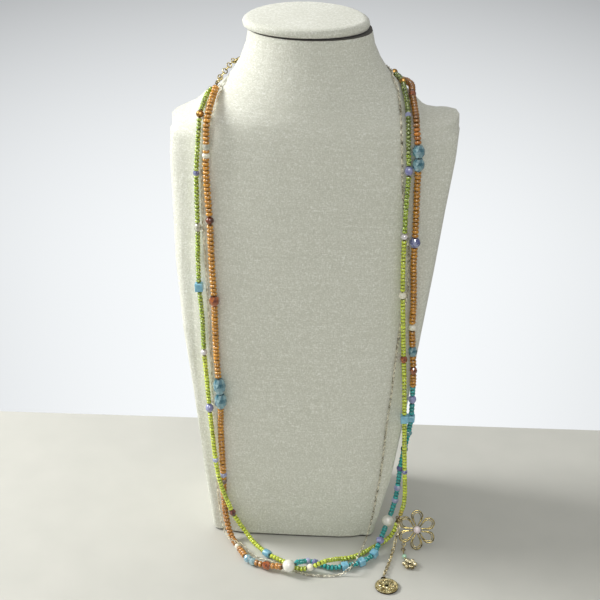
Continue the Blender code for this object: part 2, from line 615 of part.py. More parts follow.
def make_links(name, rows, pitch, wire, first, last=None):
    """A chain of round links, each a quarter turned from the last and fused where they touch."""
    route = Route(rows)
    count = round(route.total / pitch) + 1
    pitch = route.total / (count - 1)
    radius = pitch / 2 + wire - LINK_SINK
    normals, alongs = [], []
    normal = Vector(first)
    for k in range(count):
        along = route.along(min(max(pitch * k, FEELER), route.total - FEELER))
        normal = square_to(normal, along)
        normals.append(normal)
        alongs.append(along)
    twist = 0.0
    if last:
        end = square_to(Vector(last), along)
        twist = math.atan2(normal.cross(end).dot(along), normal.dot(end)) - math.pi / 2 * (count - 1)
        twist = (twist + math.pi / 2) % math.pi - math.pi / 2
    halves = [bmesh.new(), bmesh.new()]
    for k in range(count):
        turn = math.pi / 2 * k + twist * k / (count - 1)
        lie = Matrix.Rotation(turn, 3, alongs[k]) @ normals[k]
        add_ring(halves[k % 2], route.at(pitch * k), lie, radius, wire, 10, 5)
    item = place(finish_mesh(name, halves[0]), GOLD)
    unite(item, finish_mesh(name + "_odd", halves[1]))
    return item


def make_fastening():
    make_ring("front_ring", millimetres(FRONT_RING_AT), FRONT_RING_NORMAL, FRONT_RING_RADIUS, RING_WIRE)
    make_ring("back_ring", millimetres(BACK_RING_AT), BACK_RING_NORMAL, BACK_RING_RADIUS, RING_WIRE)
    make_links("extender_chain", EXTENDER_ROUTE, EXTENDER_PITCH, EXTENDER_WIRE, EXTENDER_FIRST, EXTENDER_LAST)
    radius = CLASP_WIDTH / 2 - CLASP_WIRE
    stretch = (CLASP_LENGTH / 2 - CLASP_WIRE) / radius
    make_ring("clasp", millimetres(CLASP_AT), CLASP_NORMAL, radius, CLASP_WIRE,
              stretch=stretch, long_way=CLASP_ALONG)


# Pendants
def solid_from(item):
    """A mesh object from an evaluated curve, with its end caps welded on."""
    bpy.context.view_layer.update()
    mesh = bpy.data.meshes.new_from_object(item.evaluated_get(bpy.context.evaluated_depsgraph_get()))
    shape = bmesh.new()
    shape.from_mesh(mesh)
    shape.transform(item.matrix_world)
    bmesh.ops.remove_doubles(shape, verts=shape.verts, dist=0.000002)
    return shape


def petal_wire(turn):
    """Open loop of one petal in the flower's plane, from the setting out to the tip and back."""
    points = []
    for share, wide in PETAL_SHAPE:
        points.append(Vector((PETAL_WIDTH / 2 * wide, PETAL_LENGTH * share, 0.0)))
    points += [Vector((-point.x, point.y, 0.0)) for point in points[-2::-1]]
    return [Matrix.Rotation(-turn, 3, "Z") @ point for point in points]


def make_flower():
    """Wire flower: petal loops fused to a round setting that carries a pearl."""
    upright = Matrix.Rotation(math.radians(90 - FLOWER_LEAN), 4, "X")
    lean = Matrix.Translation(millimetres(FLOWER_AT)) @ upright
    shape = bmesh.new()
    bmesh.ops.create_cone(shape, cap_ends=True, segments=12, radius1=SETTING_RADIUS, radius2=SETTING_RADIUS,
                          depth=SETTING_THICKNESS)
    item = finish_mesh("wire_flower", shape)
    item.data.transform(lean)
    place(item, GOLD)
    petals = bmesh.new()
    for k in range(PETALS):
        points = petal_wire(2 * math.pi * k / PETALS)
        curve = bpy.data.curves.new("petal", "CURVE")
        curve.dimensions = "3D"
        curve.bevel_depth = PETAL_WIRE
        curve.bevel_resolution = 1
        curve.use_fill_caps = True
        line = curve.splines.new("POLY")
        line.points.add(len(points) - 1)
        for spot, point in zip(line.points, points):
            spot.co = (*(lean @ point), 1.0)
        wire = bpy.data.objects.new("petal", curve)
        bpy.context.scene.collection.objects.link(wire)
        loop = solid_from(wire)
        mesh = bpy.data.meshes.new("petal")
        loop.to_mesh(mesh)
        loop.free()
        petals.from_mesh(mesh)
        bpy.data.objects.remove(wire)
    unite(item, finish_mesh("petal_loops", petals))
    pearl = turned("flower_pearl", bead_outline(FLOWER_PEARL, FLOWER_PEARL * 0.92, "round"), 10)
    rise = SETTING_THICKNESS / 2 + BEAD_GAP + FLOWER_PEARL * 0.46
    pearl.matrix_world = lean @ Matrix.Translation((0, 0, rise))
    place(pearl, ("white_pearl", (0.86, 0.82, 0.78), 0.2, 0.0), smooth=False)


def make_coin():
    """Coin with a raised rim, a raised boss round a cut centre hole, and a bail fused to its edge."""
    base, top = TABLE_GAP, TABLE_GAP + COIN_THICKNESS
    field = top - COIN_RELIEF
    outline = [(COIN_HOLE, top), (COIN_BOSS, top), (COIN_BOSS + COIN_RELIEF, field),
               (COIN_RADIUS - COIN_RIM - COIN_RELIEF, field), (COIN_RADIUS - COIN_RIM, top),
               (COIN_RADIUS, top), (COIN_RADIUS, base), (COIN_HOLE, base)]
    item = turned("coin", outline, 24)
    item.location = (COIN_AT[0] * MM, COIN_AT[1] * MM, 0.0)
    place(item, GOLD)
    bail = bmesh.new()
    edge = Vector((COIN_AT[0] * MM, COIN_AT[1] * MM, 0.0))
    out = COIN_RADIUS + COIN_BAIL * 0.6
    edge += Vector((math.sin(COIN_BAIL_TURN), math.cos(COIN_BAIL_TURN), 0.0)) * out
    edge.z = TABLE_GAP + COIN_BAIL_WIRE
    add_ring(bail, edge, (0, 0, 1), COIN_BAIL, COIN_BAIL_WIRE, 10, 6)
    unite(item, finish_mesh("coin_bail", bail))


def make_charm_chain():
    """Links from the flower's petal to a wire pin, which carries the mint bead and ends at the charm."""
    chain = make_links("charm_chain", CHARM_CHAIN_ROUTE, CHARM_PITCH, CHARM_WIRE, CHARM_FIRST)
    start, end = millimetres(CHARM_CHAIN_ROUTE[-1][:3]), millimetres(MINT_AT)
    along = (end - start).normalized()
    half = MINT_BEAD / 2
    outline = [(MINT_BORE, half * 0.9), (half * 0.75, half * 0.7), (half, 0.0), (half * 0.75, -half * 0.7),
               (MINT_BORE, -half * 0.9)]
    bead = turned("mint_bead", outline, 10)
    bead.matrix_world = Matrix.Translation(end) @ bead_turn(along, "round")
    place(bead, ("mint_glass", (0.55, 0.78, 0.62), 0.3, 0.0), smooth=False)
    pin = bmesh.new()
    first = start + along * (CHARM_PITCH / 2 + CHARM_WIRE)
    last = end + along * (half + PIN_END)
    middle = Matrix.Translation((first + last) / 2) @ bead_turn(along, "round")
    bmesh.ops.create_cone(pin, cap_ends=True, segments=6, radius1=CHARM_WIRE, radius2=CHARM_WIRE,
                          depth=(last - first).length, matrix=middle)
    unite(chain, finish_mesh("charm_pin", pin))
    return last


def make_charm(pin_end):
    """Small flower charm of gold grains round a pierced disc, with a loop towards the pin that carries it."""
    centre = Vector((CHARM_AT[0] * MM, CHARM_AT[1] * MM, 0.0))
    outline = [(CHARM_HOLE, CHARM_THICKNESS), (CHARM_DISC, CHARM_THICKNESS),
               (CHARM_DISC, 0.0), (CHARM_HOLE, 0.0)]
    item = turned("flower_charm", outline, 14)
    item.location = centre + Vector((0, 0, TABLE_GAP + CHARM_GRAIN - CHARM_THICKNESS / 2))
    place(item, GOLD)
    pieces = bmesh.new()
    way = pin_end - centre
    way.z = 0.0
    for k in range(CHARM_GRAINS):
        turn = 2 * math.pi * k / CHARM_GRAINS + math.atan2(way.y, way.x)
        spot = centre + Vector((math.cos(turn), math.sin(turn), 0.0)) * (CHARM_RADIUS - CHARM_GRAIN)
        spot.z = TABLE_GAP + CHARM_GRAIN
        bmesh.ops.create_uvsphere(pieces, u_segments=10, v_segments=5, radius=CHARM_GRAIN,
                                  matrix=Matrix.Translation(spot))
    room = way.length - CHARM_RADIUS - BEAD_GAP
    radius = room / 2 - CHARM_WIRE + CHARM_LOOP_SINK
    middle = centre + way.normalized() * (CHARM_RADIUS + room - radius - CHARM_WIRE)
    middle.z = TABLE_GAP + CHARM_GRAIN
    loop = bmesh.new()
    add_ring(loop, middle, (0, 0, 1), radius, CHARM_WIRE, 10, 5)
    unite(item, finish_mesh("charm_grains", pieces))
    unite(item, finish_mesh("charm_loop", loop))


def make_pendants():
    make_ring("pendant_ring", millimetres(PENDANT_RING_AT), PENDANT_RING_NORMAL,
              PENDANT_RING_RADIUS, PENDANT_RING_WIRE)
    make_flower()
    route = Route(COIN_CHAIN_ROUTE)
    lengths = [0.0] + bends(route, 0.0, route.total, COIN_CHAIN_STEP)
    tube("coin_chain", [(route.at(length), COIN_CHAIN_RADIUS) for length in lengths], COIN_CHAIN_RADIUS, GOLD)
    make_coin()
    make_charm(make_charm_chain())


make_bust()
make_strings()
make_fine_chain("gold_chain_left", CHAIN_LEFT)
make_fine_chain("gold_chain_right", CHAIN_RIGHT)
make_fastening()
make_pendants()
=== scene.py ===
import math
import bmesh
import bpy
import numpy as np
from mathutils import Matrix, Vector


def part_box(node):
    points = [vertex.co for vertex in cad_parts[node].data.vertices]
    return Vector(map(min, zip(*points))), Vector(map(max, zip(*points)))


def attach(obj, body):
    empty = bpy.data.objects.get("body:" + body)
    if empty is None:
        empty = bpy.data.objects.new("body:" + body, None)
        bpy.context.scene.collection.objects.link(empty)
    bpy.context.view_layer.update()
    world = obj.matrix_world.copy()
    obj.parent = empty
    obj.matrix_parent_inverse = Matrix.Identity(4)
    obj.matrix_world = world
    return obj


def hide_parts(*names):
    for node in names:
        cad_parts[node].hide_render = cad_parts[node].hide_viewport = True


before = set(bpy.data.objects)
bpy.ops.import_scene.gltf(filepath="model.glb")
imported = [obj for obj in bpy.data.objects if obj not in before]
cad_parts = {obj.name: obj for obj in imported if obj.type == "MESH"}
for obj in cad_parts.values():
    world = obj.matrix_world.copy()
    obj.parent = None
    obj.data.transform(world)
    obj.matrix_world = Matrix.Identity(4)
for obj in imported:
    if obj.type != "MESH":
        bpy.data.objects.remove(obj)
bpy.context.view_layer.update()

# Camera
# A long lens from in front and above, at the photograph's angle. It stands a little to the
# right, turned 2.7 degrees to the left, tipped 27 degrees down at the bust and rolled by 1.
eye = bpy.data.objects.new("camera", bpy.data.cameras.new("camera"))
bpy.context.scene.collection.objects.link(eye)
eye.data.lens = 84
eye.data.clip_end = 30
turned, tipped, rolled = math.radians(2.7), math.radians(90 - 27), math.radians(1.0)
eye.matrix_world = (Matrix.Translation((0.0336, -0.7122, 0.5)) @ Matrix.Rotation(turned, 4, "Z")
                    @ Matrix.Rotation(tipped, 4, "X") @ Matrix.Rotation(rolled, 4, "Z"))
bpy.context.scene.camera = eye
bpy.context.scene.view_settings.view_transform = "Standard"


# Table and wall
# A pale grey table whose back edge runs behind the bust, and a plain wall well beyond it.
# Daylight comes from the left, with a weak fill in front and one lamp that gives only glints.
class Amount:
    """A shader socket. An expression on it adds its Math nodes."""

    def __init__(self, finish, socket):
        self.finish, self.socket = finish, socket

    def maths(self, operation, *others):
        return self.finish.node("Math", {"operation": operation}, (self, *others))

    def __add__(self, other):
        return self.maths("ADD", other)

    def __sub__(self, other):
        return self.maths("SUBTRACT", other)

    def __mul__(self, other):
        return self.maths("MULTIPLY", other)

    def __pow__(self, other):
        return self.maths("POWER", other)

    def __rsub__(self, other):
        return self.finish.node("Math", {"operation": "SUBTRACT"}, (other, self))

    __radd__ = __add__
    __rmul__ = __mul__


class Finish:
    """A material that is written as nodes: its shader's plain values and what varies over the surface."""

    def __init__(self, name, **plain):
        self.material = bpy.data.materials.new(name)
        self.material.use_nodes = True
        self.shader = self.material.node_tree.nodes["Principled BSDF"]
        for socket, value in plain.items():
            self.shader.inputs[socket.replace("_", " ")].default_value = value

    def node(self, kind, settings=None, sockets=(), out=0):
        """Any node, by its type, its settings, and the values or links of its sockets."""
        made = self.material.node_tree.nodes.new("ShaderNode" + kind)
        for name, value in (settings or {}).items():
            if name == "stops":
                ramp = made.color_ramp.elements
                while len(ramp) < len(value):
                    ramp.new(0.5)
                for stop, (place, colour) in zip(ramp, value):
                    stop.position = place
                    stop.color = (*colour[:3], 1.0)
            else:
                setattr(made, name, value)
        for name, value in (sockets.items() if isinstance(sockets, dict) else enumerate(sockets)):
            if isinstance(value, Amount):
                self.material.node_tree.links.new(value.socket, made.inputs[name])
            else:
                made.inputs[name].default_value = value
        return Amount(self, made.outputs[out])

    def spot(self, stretch=(1, 1, 1)):
        """A point of the piece in metres, stretched per axis."""
        here = self.node("TexCoord", out=3)
        return self.node("Mapping", sockets={"Vector": here, "Scale": stretch})

    def grain(self, scale, stretch=(1, 1, 1), detail=2.0, rough=0.5):
        """Noise in the piece's own metres."""
        return self.node("TexNoise", sockets={"Vector": self.spot(stretch), "Scale": scale,
                                              "Detail": detail, "Roughness": rough})

    def between(self, share, low, high):
        """Colour between two colours, by a share from 0 to 1."""
        return self.node("Mix", {"data_type": "RGBA"}, {0: share, 6: low, 7: high}, out=2)

    def times(self, one, other):
        """Two colours multiplied."""
        return self.node("Mix", {"data_type": "RGBA", "blend_type": "MULTIPLY"},
                         {0: 1.0, 6: one, 7: other}, out=2)

    def steps(self, share, *stops):
        """Colours along a share, each stop a place and its colour."""
        return self.node("ValToRGB", {"stops": stops}, (share,))

    def bump(self, height, depth, strength=1.0):
        return self.node("Bump", sockets={"Height": height, "Distance": depth, "Strength": strength})

    def wear(self, **inputs):
        """Links what varies over the surface to the shader."""
        for socket, value in inputs.items():
            self.material.node_tree.links.new(value.socket, self.shader.inputs[socket.replace("_", " ")])


def rgb(red, green, blue):
    """A colour seen on screen, as light."""
    light = (level / 255 / 12.92 if level < 10 else ((level / 255 + 0.055) / 1.055) ** 2.4
             for level in (red, green, blue))
    return (*light, 1.0)


def clear_hands():
    """Leaves nothing selected."""
    for item in bpy.context.selected_objects:
        item.select_set(False)


def board(name, corners):
    """A flat board, by its four corners."""
    clear_hands()
    bpy.ops.mesh.primitive_plane_add(size=1)
    bpy.context.object.name = name
    for vertex, corner in zip(bpy.context.object.data.vertices, corners):
        vertex.co = corner
    return bpy.context.object


TABLE_TOP, WALL_PLACE = -0.0001, 2.4
table = board("table", [(x, y, TABLE_TOP) for x, y in
                        ((-1.2, -1.6), (1.2, -1.6), (-1.2, 0.066), (1.2, 0.113))])
finish = Finish("table_grey", Roughness=0.55)
speck = finish.grain(40.0, detail=3.0)
finish.wear(Base_Color=finish.between(speck, rgb(197, 197, 190), rgb(207, 206, 199)),
            Roughness=0.45 + speck * 0.2)
table.data.materials.append(finish.material)

# The wall glows with painted light of its own, brightest low down and a little to the left of its middle.
wall = board("wall", [(x, WALL_PLACE, z) for z in (-3.0, 2.0) for x in (-3.0, 3.0)])
finish = Finish("wall_painted_light", Roughness=1.0, Base_Color=(0, 0, 0, 1), Specular_IOR_Level=0.0,
                Emission_Strength=1.0)
here = finish.spot()
side = finish.node("SeparateXYZ", sockets=(here,))
high = finish.node("SeparateXYZ", sockets=(here,), out=2)
upper = finish.node("MapRange", sockets={"Value": high, 1: -1.12, 2: -0.30})
bright = 1.0 - (upper ** 2.6) * 0.44 - (side + 0.11) ** 2.0 * 0.24
finish.wear(Emission_Color=finish.between(bright, (0, 0, 0, 1), rgb(250, 253, 255)))
wall.data.materials.append(finish.material)


def lamp(name, place, aim, size, power, colour=(1, 1, 1)):
    """A round soft lamp that points at aim."""
    light = bpy.data.objects.new(name, bpy.data.lights.new(name, "AREA"))
    light.data.shape = "DISK"
    light.data.size, light.data.energy, light.data.color = size, power, colour
    light.location = place
    light.rotation_euler = (Vector(aim) - Vector(place)).to_track_quat("-Z", "Y").to_euler()
    bpy.context.scene.collection.objects.link(light)


lamp("window", (-0.90, 0.10, 0.66), (0.0, 0.0, 0.10), 0.36, 11.8, (1.0, 0.995, 0.98))
lamp("front_fill", (0.1, -1.6, 0.5), (0.0, 0.0, 0.12), 0.9, 1.9, (1.0, 1.0, 0.98))
lamp("glint", (0.08, -0.80, 1.05), (0.0, -0.05, 0.1), 0.4, 9.0)
bpy.data.objects["glint"].visible_diffuse = False
sky = bpy.data.worlds.new("sky")
bpy.context.scene.world = sky
sky.use_nodes = True
nodes, links = sky.node_tree.nodes, sky.node_tree.links
where = nodes.new("ShaderNodeTexCoord")
parts = nodes.new("ShaderNodeSeparateXYZ")
shades = nodes.new("ShaderNodeValToRGB")
links.new(where.outputs["Generated"], parts.inputs[0])
links.new(parts.outputs[2], shades.inputs[0])
links.new(shades.outputs[0], nodes["Background"].inputs["Color"])
ramp = shades.color_ramp.elements
ramp.new(0.3)
ramp.new(0.6)
for stop, (place, tone) in zip(ramp, ((0.0, 0.34), (0.22, 0.46), (0.5, 0.66), (1.0, 0.72))):
    stop.position, stop.color = place, (tone, tone, tone * 0.97, 1.0)
nodes["Background"].inputs["Strength"].default_value = 0.88

# Neck bust
# A jeweller's display bust, a moulded shell wrapped in natural linen that is glued
# round its edges, with a separate oval cap of the same cloth pressed into the neck.


def take_up(*pieces):
    """Leaves only these pieces selected, with the first of them active."""
    clear_hands()
    for piece in pieces:
        piece.select_set(True)
    bpy.context.view_layer.objects.active = pieces[0]


def laid(name, mesh):
    """A mesh as a piece of the one body."""
    piece = bpy.data.objects.new(name, mesh)
    bpy.context.scene.collection.objects.link(piece)
    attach(piece, "root")
    return piece


def merged_copy(node, name, smooth):
    """A copy of a CAD node with its loose triangles joined, smooth where it bends by less than an angle."""
    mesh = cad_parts[node].data.copy()
    shape = bmesh.new()
    shape.from_mesh(mesh)
    bmesh.ops.remove_doubles(shape, verts=shape.verts, dist=1e-6)
    shape.to_mesh(mesh)
    shape.free()
    mesh.name = name
    mesh.materials.clear()
    piece = laid(name, mesh)
    take_up(piece)
    if smooth:
        bpy.ops.object.shade_smooth_by_angle(angle=math.radians(smooth))
    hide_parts(node)
    return piece


linen = Finish("linen_cloth", Roughness=0.85, Specular_IOR_Level=0.25, Sheen_Weight=0.25, Sheen_Roughness=0.5)
weft = linen.grain(760.0, (1.0, 1.0, 3.0), detail=1.0)
warp = linen.grain(760.0, (3.0, 3.0, 0.8), detail=1.0)
slub = linen.grain(150.0, (0.3, 0.3, 6.0), detail=2.0)
cloud = linen.grain(12.0)
cloth = weft * 0.45 + warp * 0.4 + slub * 0.15
tone = linen.steps(cloth, (0.36, rgb(212, 213, 201)), (0.52, rgb(225, 226, 215)), (0.64, rgb(248, 249, 243)))
tone = linen.times(tone, linen.between(cloud, (0.95, 0.95, 0.93, 1), (1.0, 1.0, 0.985, 1)))

# Painted shade: a dark line of painted contact shadow at the bottom of the foot, and painted shade in the
# seam where the cap is pressed in.
SEAM_HEIGHT, SEAM_HALF = 0.29585, 0.0006
height = linen.node("SeparateXYZ", sockets=(linen.spot(),), out=2)
painted_foot_shadow = linen.node("MapRange", sockets={"Value": height, 1: 0.0012, 2: 0.0005})
dark = painted_foot_shadow.maths("MAXIMUM", height.maths("COMPARE", SEAM_HEIGHT, SEAM_HALF))
linen.wear(Base_Color=linen.between(dark, tone, rgb(66, 62, 54)), Roughness=0.7 + weft * 0.2,
           Normal=linen.bump(cloth, 0.0006, 0.5))
bust = merged_copy("neck_bust", "linen_bust", 0)
cap = merged_copy("neck_cap", "linen_cap", 50)
take_up(bust)
bpy.ops.object.mode_set(mode="EDIT")
bpy.ops.mesh.select_all(action="SELECT")
bpy.ops.mesh.tris_convert_to_quads(face_threshold=math.radians(60), shape_threshold=math.radians(60))
bpy.ops.mesh.subdivide(number_cuts=2)
bpy.ops.object.mode_set(mode="OBJECT")
co = np.empty(len(bust.data.vertices) * 3)
bust.data.vertices.foreach_get("co", co)
co = co.reshape(-1, 3)
levels = np.round(co[:, 2], 5)

# The linen is drawn tighter over the bust's corners than the CAD solid shows. At these heights,
# in metres, its outline goes from a rounder power to a squarer one, and its flanks are drawn in.
HEIGHTS = (0.0, 0.0025, 0.040, 0.085, 0.130, 0.170, 0.205, 0.232, 0.247)
ROUND = (6.0, 6.0, 4.6, 3.8, 3.3, 3.0, 2.7, 2.5, 2.35)
SQUARE = (18.0, 18.0, 13.0, 9.5, 7.5, 6.0, 5.0, 4.2, 3.6)
TRIM_LEFT = (0.0, 0.0, 0.0027, 0.0044, 0.0030, 0.0021, 0.0016, 0.0006, 0.0)
TRIM_RIGHT = (0.0, 0.0, 0.0012, 0.0020, 0.0021, 0.0017, 0.0015, 0.0008, 0.0)
BODY_TOP, SHOULDER_TOP = 0.2475, 0.2550


def span(x):
    """Middle and half width of a ring of the bust."""
    return (x.max() + x.min()) / 2, (x.max() - x.min()) / 2


def flank(across, start, width):
    """0 up to start, as a share of the half width, and 1 from width further out."""
    return np.clip((abs(across) - start) / width, 0, 1)


for level in np.unique(levels[levels < BODY_TOP]):
    ring = levels == level
    x, y = co[ring, 0], co[ring, 1]
    lean, half = span(x)
    across, deep = (x - lean) / half, np.where(y > 0, y / y.max(), y / -y.min())
    soft, hard = np.interp(level, HEIGHTS, ROUND), np.interp(level, HEIGHTS, SQUARE)
    was = (abs(across) ** soft + abs(deep) ** soft) ** (1 / soft)
    now = (abs(across) ** hard + abs(deep) ** hard) ** (1 / hard)
    share = flank(across, 0.84, 0.10)
    grow = 1 + (was / np.maximum(now, 1e-6) - 1) * share * share * (3 - 2 * share)
    wide = np.clip(across * grow, -1, 1)
    left, right = np.interp(level, HEIGHTS, TRIM_LEFT), np.interp(level, HEIGHTS, TRIM_RIGHT)
    trim = np.where(wide < 0, left, right) / half
    co[ring, 0] = lean + np.sign(wide) * (abs(wide) - flank(wide, 0.84, 0.16) * trim) * half
    co[ring, 1] = np.clip(y * grow, y.min(), y.max())

# Each shoulder's corner stands out a little, and the shoulders fall away to the sides.
for level in np.unique(levels[(levels > BODY_TOP) & (levels < SHOULDER_TOP)]):
    ring = levels == level
    x = co[ring, 0]
    lean, half = span(x)
    reach = np.interp(level, (0.2470, 0.2520, 0.2550), (0.0, 0.0027, 0.0))
    co[ring, 0] = x + np.sign(x - lean) * reach * flank((x - lean) / half, 0.82, 0.18)
top = (co[:, 2] > 0.2325) & (co[:, 2] < 0.275)
drop = np.interp(co[top, 0], (-0.070, -0.058, -0.053, 0.0585, 0.063, 0.069, 0.074, 0.082),
                 (0.0050, 0.0036, 0.0, 0.0, 0.0046, 0.0046, 0.0026, 0.0004))
co[top, 2] -= drop * np.clip((co[top, 2] - 0.2320) / 0.015, 0, 1)
bust.data.vertices.foreach_set("co", co.ravel())
bust.data.update()
bpy.ops.object.shade_smooth_by_angle(angle=math.radians(28))
for piece in (bust, cap):
    piece.data.materials.append(linen.material)


# Threads of the two bead strings
# Brown nylon bead cord. It runs through every bead and shows only in the gaps
# between them and where the ends are tied at the rings.
TUBE_SIDES, TUBE_REACH, FLAT = 8, 0.006, 2e-6
CORD_RADIUS = 0.0004


def spread(start):
    """The vertices of a tube, ring by ring from the ring given."""
    seen, layers = set(start), [list(start)]
    while True:
        ring = {edge.other_vert(v) for v in layers[-1] for edge in v.link_edges} - seen
        if not ring:
            return layers
        seen |= ring
        layers.append(sorted(ring, key=lambda v: v.index))


def line_of(node):
    """Middle and radius of a CAD tube at each of its rings, from its upper end."""
    shape = bmesh.new()
    shape.from_mesh(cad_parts[node].data)
    bmesh.ops.remove_doubles(shape, verts=shape.verts, dist=1e-6)
    shape.verts.index_update()
    shape.verts.ensure_lookup_table()
    far = spread([shape.verts[0]])[-1][0]
    mouth = []
    for face in far.link_faces:
        if len(mouth) != TUBE_SIDES:
            mouth = [v for v in shape.verts if (v.co - far.co).length < TUBE_REACH
                     and abs((v.co - far.co).dot(face.normal)) < FLAT]
    line = []
    for ring in spread(mouth):
        middle = sum((v.co for v in ring), Vector()) / len(ring)
        line.append((middle, sum((v.co - middle).length for v in ring) / len(ring)))
    shape.free()
    return line if line[0][0].z > line[-1][0].z else line[::-1]


def wire(name, points, radius, closed=False, rounding=2):
    """A round wire along points, as a mesh."""
    curve = bpy.data.curves.new(name, "CURVE")
    curve.dimensions = "3D"
    curve.bevel_depth = radius
    curve.bevel_resolution = rounding
    curve.use_fill_caps = True
    run = curve.splines.new("POLY")
    run.points.add(len(points) - 1)
    for spot, point in zip(run.points, points):
        spot.co = (*point, 1.0)
    run.use_cyclic_u = closed
    run.use_smooth = True
    item = bpy.data.objects.new(name, curve)
    bpy.context.scene.collection.objects.link(item)
    take_up(item)
    bpy.ops.object.convert(target="MESH")
    return bpy.context.object


cord = Finish("bead_cord", Roughness=0.6)
strand = cord.grain(2500.0)
cord.wear(Base_Color=cord.between(strand, rgb(70, 42, 20), rgb(120, 84, 48)),
          Normal=cord.bump(strand, 0.0001))
lines = {}
for node in ("orange_string_left", "orange_string_right", "lime_string_left", "lime_string_right"):
    lines[node] = line_of(node)
    thread = wire(node + "_cord", [point for point, radius in lines[node]], CORD_RADIUS, rounding=1)
    thread.data.materials.append(cord.material)
    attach(thread, "root")


# Seed beads
# Pressed glass seed beads: amber orange and teal on one string, lime on the other.
# One squat ring of glass is modelled, and strung close along each cord.
def steps_along(points, count):
    """Evenly spaced places and directions along a line."""
    lengths = [0.0]
    for a, b in zip(points, points[1:]):
        lengths.append(lengths[-1] + (b - a).length)
    made = []
    for k in range(count):
        want = lengths[-1] * (k + 0.5) / count
        i = max(j for j in range(len(points) - 1) if lengths[j] <= want)
        share = (want - lengths[i]) / (lengths[i + 1] - lengths[i])
        before = points[max(i - 1, 0)]
        after = points[min(i + 2, len(points) - 1)]
        here = (points[i + 1] - points[i]).normalized()
        ahead = (after - points[i + 1]).normalized() if share > 0.5 else (points[i] - before).normalized()
        lean = abs(share - 0.5) if ahead.length else 0
        made.append((points[i].lerp(points[i + 1], share), (here * (1 - lean) + ahead * lean).normalized()))
    return made


def along_line(direction, roll=0.0):
    """Turn that lays a piece's Z along a direction, with its Y towards the front or up."""
    guide = Vector((0, -1, 0)) if abs(direction.z) > 0.6 else Vector((0, 0, 1))
    side = direction.cross(guide).normalized()
    face = direction.cross(side).normalized()
    return Matrix((side, face, direction)).transposed().to_4x4() @ Matrix.Rotation(roll, 4, "Z")


def many(name, mesh, turns, hues=None, dark=None):
    """One piece of many copies of a mesh, each with its own turn and colour, darkened by a painted shade per
    vertex.
    """
    co = np.empty(len(mesh.vertices) * 3)
    mesh.vertices.foreach_get("co", co)
    co = np.c_[co.reshape(-1, 3), np.ones(len(mesh.vertices))]
    faces = [tuple(face.vertices) for face in mesh.polygons]
    smooth = [face.use_smooth for face in mesh.polygons]
    hues = hues or [(1, 1, 1)] * len(turns)
    shade = np.array(dark or [1.0] * len(co))
    points, skin, tints = [], [], []
    for k, turn in enumerate(turns):
        points.append((co @ np.array(turn).T)[:, :3])
        skin += [tuple(v + k * len(co) for v in face) for face in faces]
        tints.append(np.c_[shade[:, None] * np.array(hues[k])[None, :3], np.ones(len(co))])
    made = bpy.data.meshes.new(name)
    made.from_pydata(np.vstack(points).tolist(), [], skin)
    made.polygons.foreach_set("use_smooth", smooth * len(turns))
    # The hue attribute is each copy's colour times its painted shade.
    made.attributes.new("hue", "FLOAT_COLOR", "POINT").data.foreach_set("color", np.vstack(tints).ravel())
    return laid(name, made)


def drilled_ball(sides, rings, mouth, sink):
    """A round bead of radius 1 along Z, with its two poles pressed in to form the mouths of its bore."""
    clear_hands()
    bpy.ops.mesh.primitive_uv_sphere_add(segments=sides, ring_count=rings, radius=1.0)
    ball = bpy.context.object
    for vertex in ball.data.vertices:
        if abs(vertex.co.z) > 0.999:
            vertex.co.z *= 1 - sink
        elif (vertex.co.xy).length < mouth:
            vertex.co.xy *= mouth / vertex.co.xy.length
    bpy.ops.object.shade_smooth()
    mesh = ball.data
    bpy.data.objects.remove(ball)
    return mesh


# The mouths are opened and made flat, and the sides are filled out towards them.
# Painted shade: darkest in the bore, dark at the mouths where beads meet, a little darker on the flanks.
seed = drilled_ball(10, 6, 0.45, 0.5)
seed_painted_shade = []
for vertex in seed.vertices:
    out, up, shade = vertex.co.xy.length, abs(vertex.co.z), 1.0
    if up > 0.8:
        vertex.co = (vertex.co.x * 1.16, vertex.co.y * 1.16, math.copysign(0.97, vertex.co.z))
        shade = 0.4
    elif up > 0.45 and out > 0.6:
        vertex.co = (vertex.co.x * 1.02, vertex.co.y * 1.02, vertex.co.z * 1.24)
        shade = 0.82
    elif out < 0.1:
        shade = 0.2
    seed_painted_shade.append(shade)

ORANGE = rgb(220, 152, 24)
ORANGE_DEEP = rgb(206, 128, 20)
ORANGE_PALE = rgb(212, 146, 60)
ORANGE_OLD = rgb(182, 118, 22)
TEAL = rgb(14, 182, 188)
LIME = rgb(226, 246, 70)
LIME_LINED = rgb(180, 214, 28)
OLIVE = rgb(122, 146, 22)
YELLOW = rgb(214, 196, 64)

# How far single beads differ in size, lean and colour, and how closely they touch.
SIZE_SPREAD, LEAN_SPREAD, HUE_SPREAD, TOUCH = 0.06, 0.07, 0.10, 1.02
small_places = []


def length_of(points):
    return sum((b - a).length for a, b in zip(points, points[1:]))


def runs_of(line):
    """The seed beads' stretches of a string, each from one larger bead's face to the next."""
    run = []
    for k, (point, size) in enumerate(line):
        if size > 0.001:
            run = run or [line[k - 1][0]]
            run.append(point)
        elif run:
            yield run + [point]
            run = []


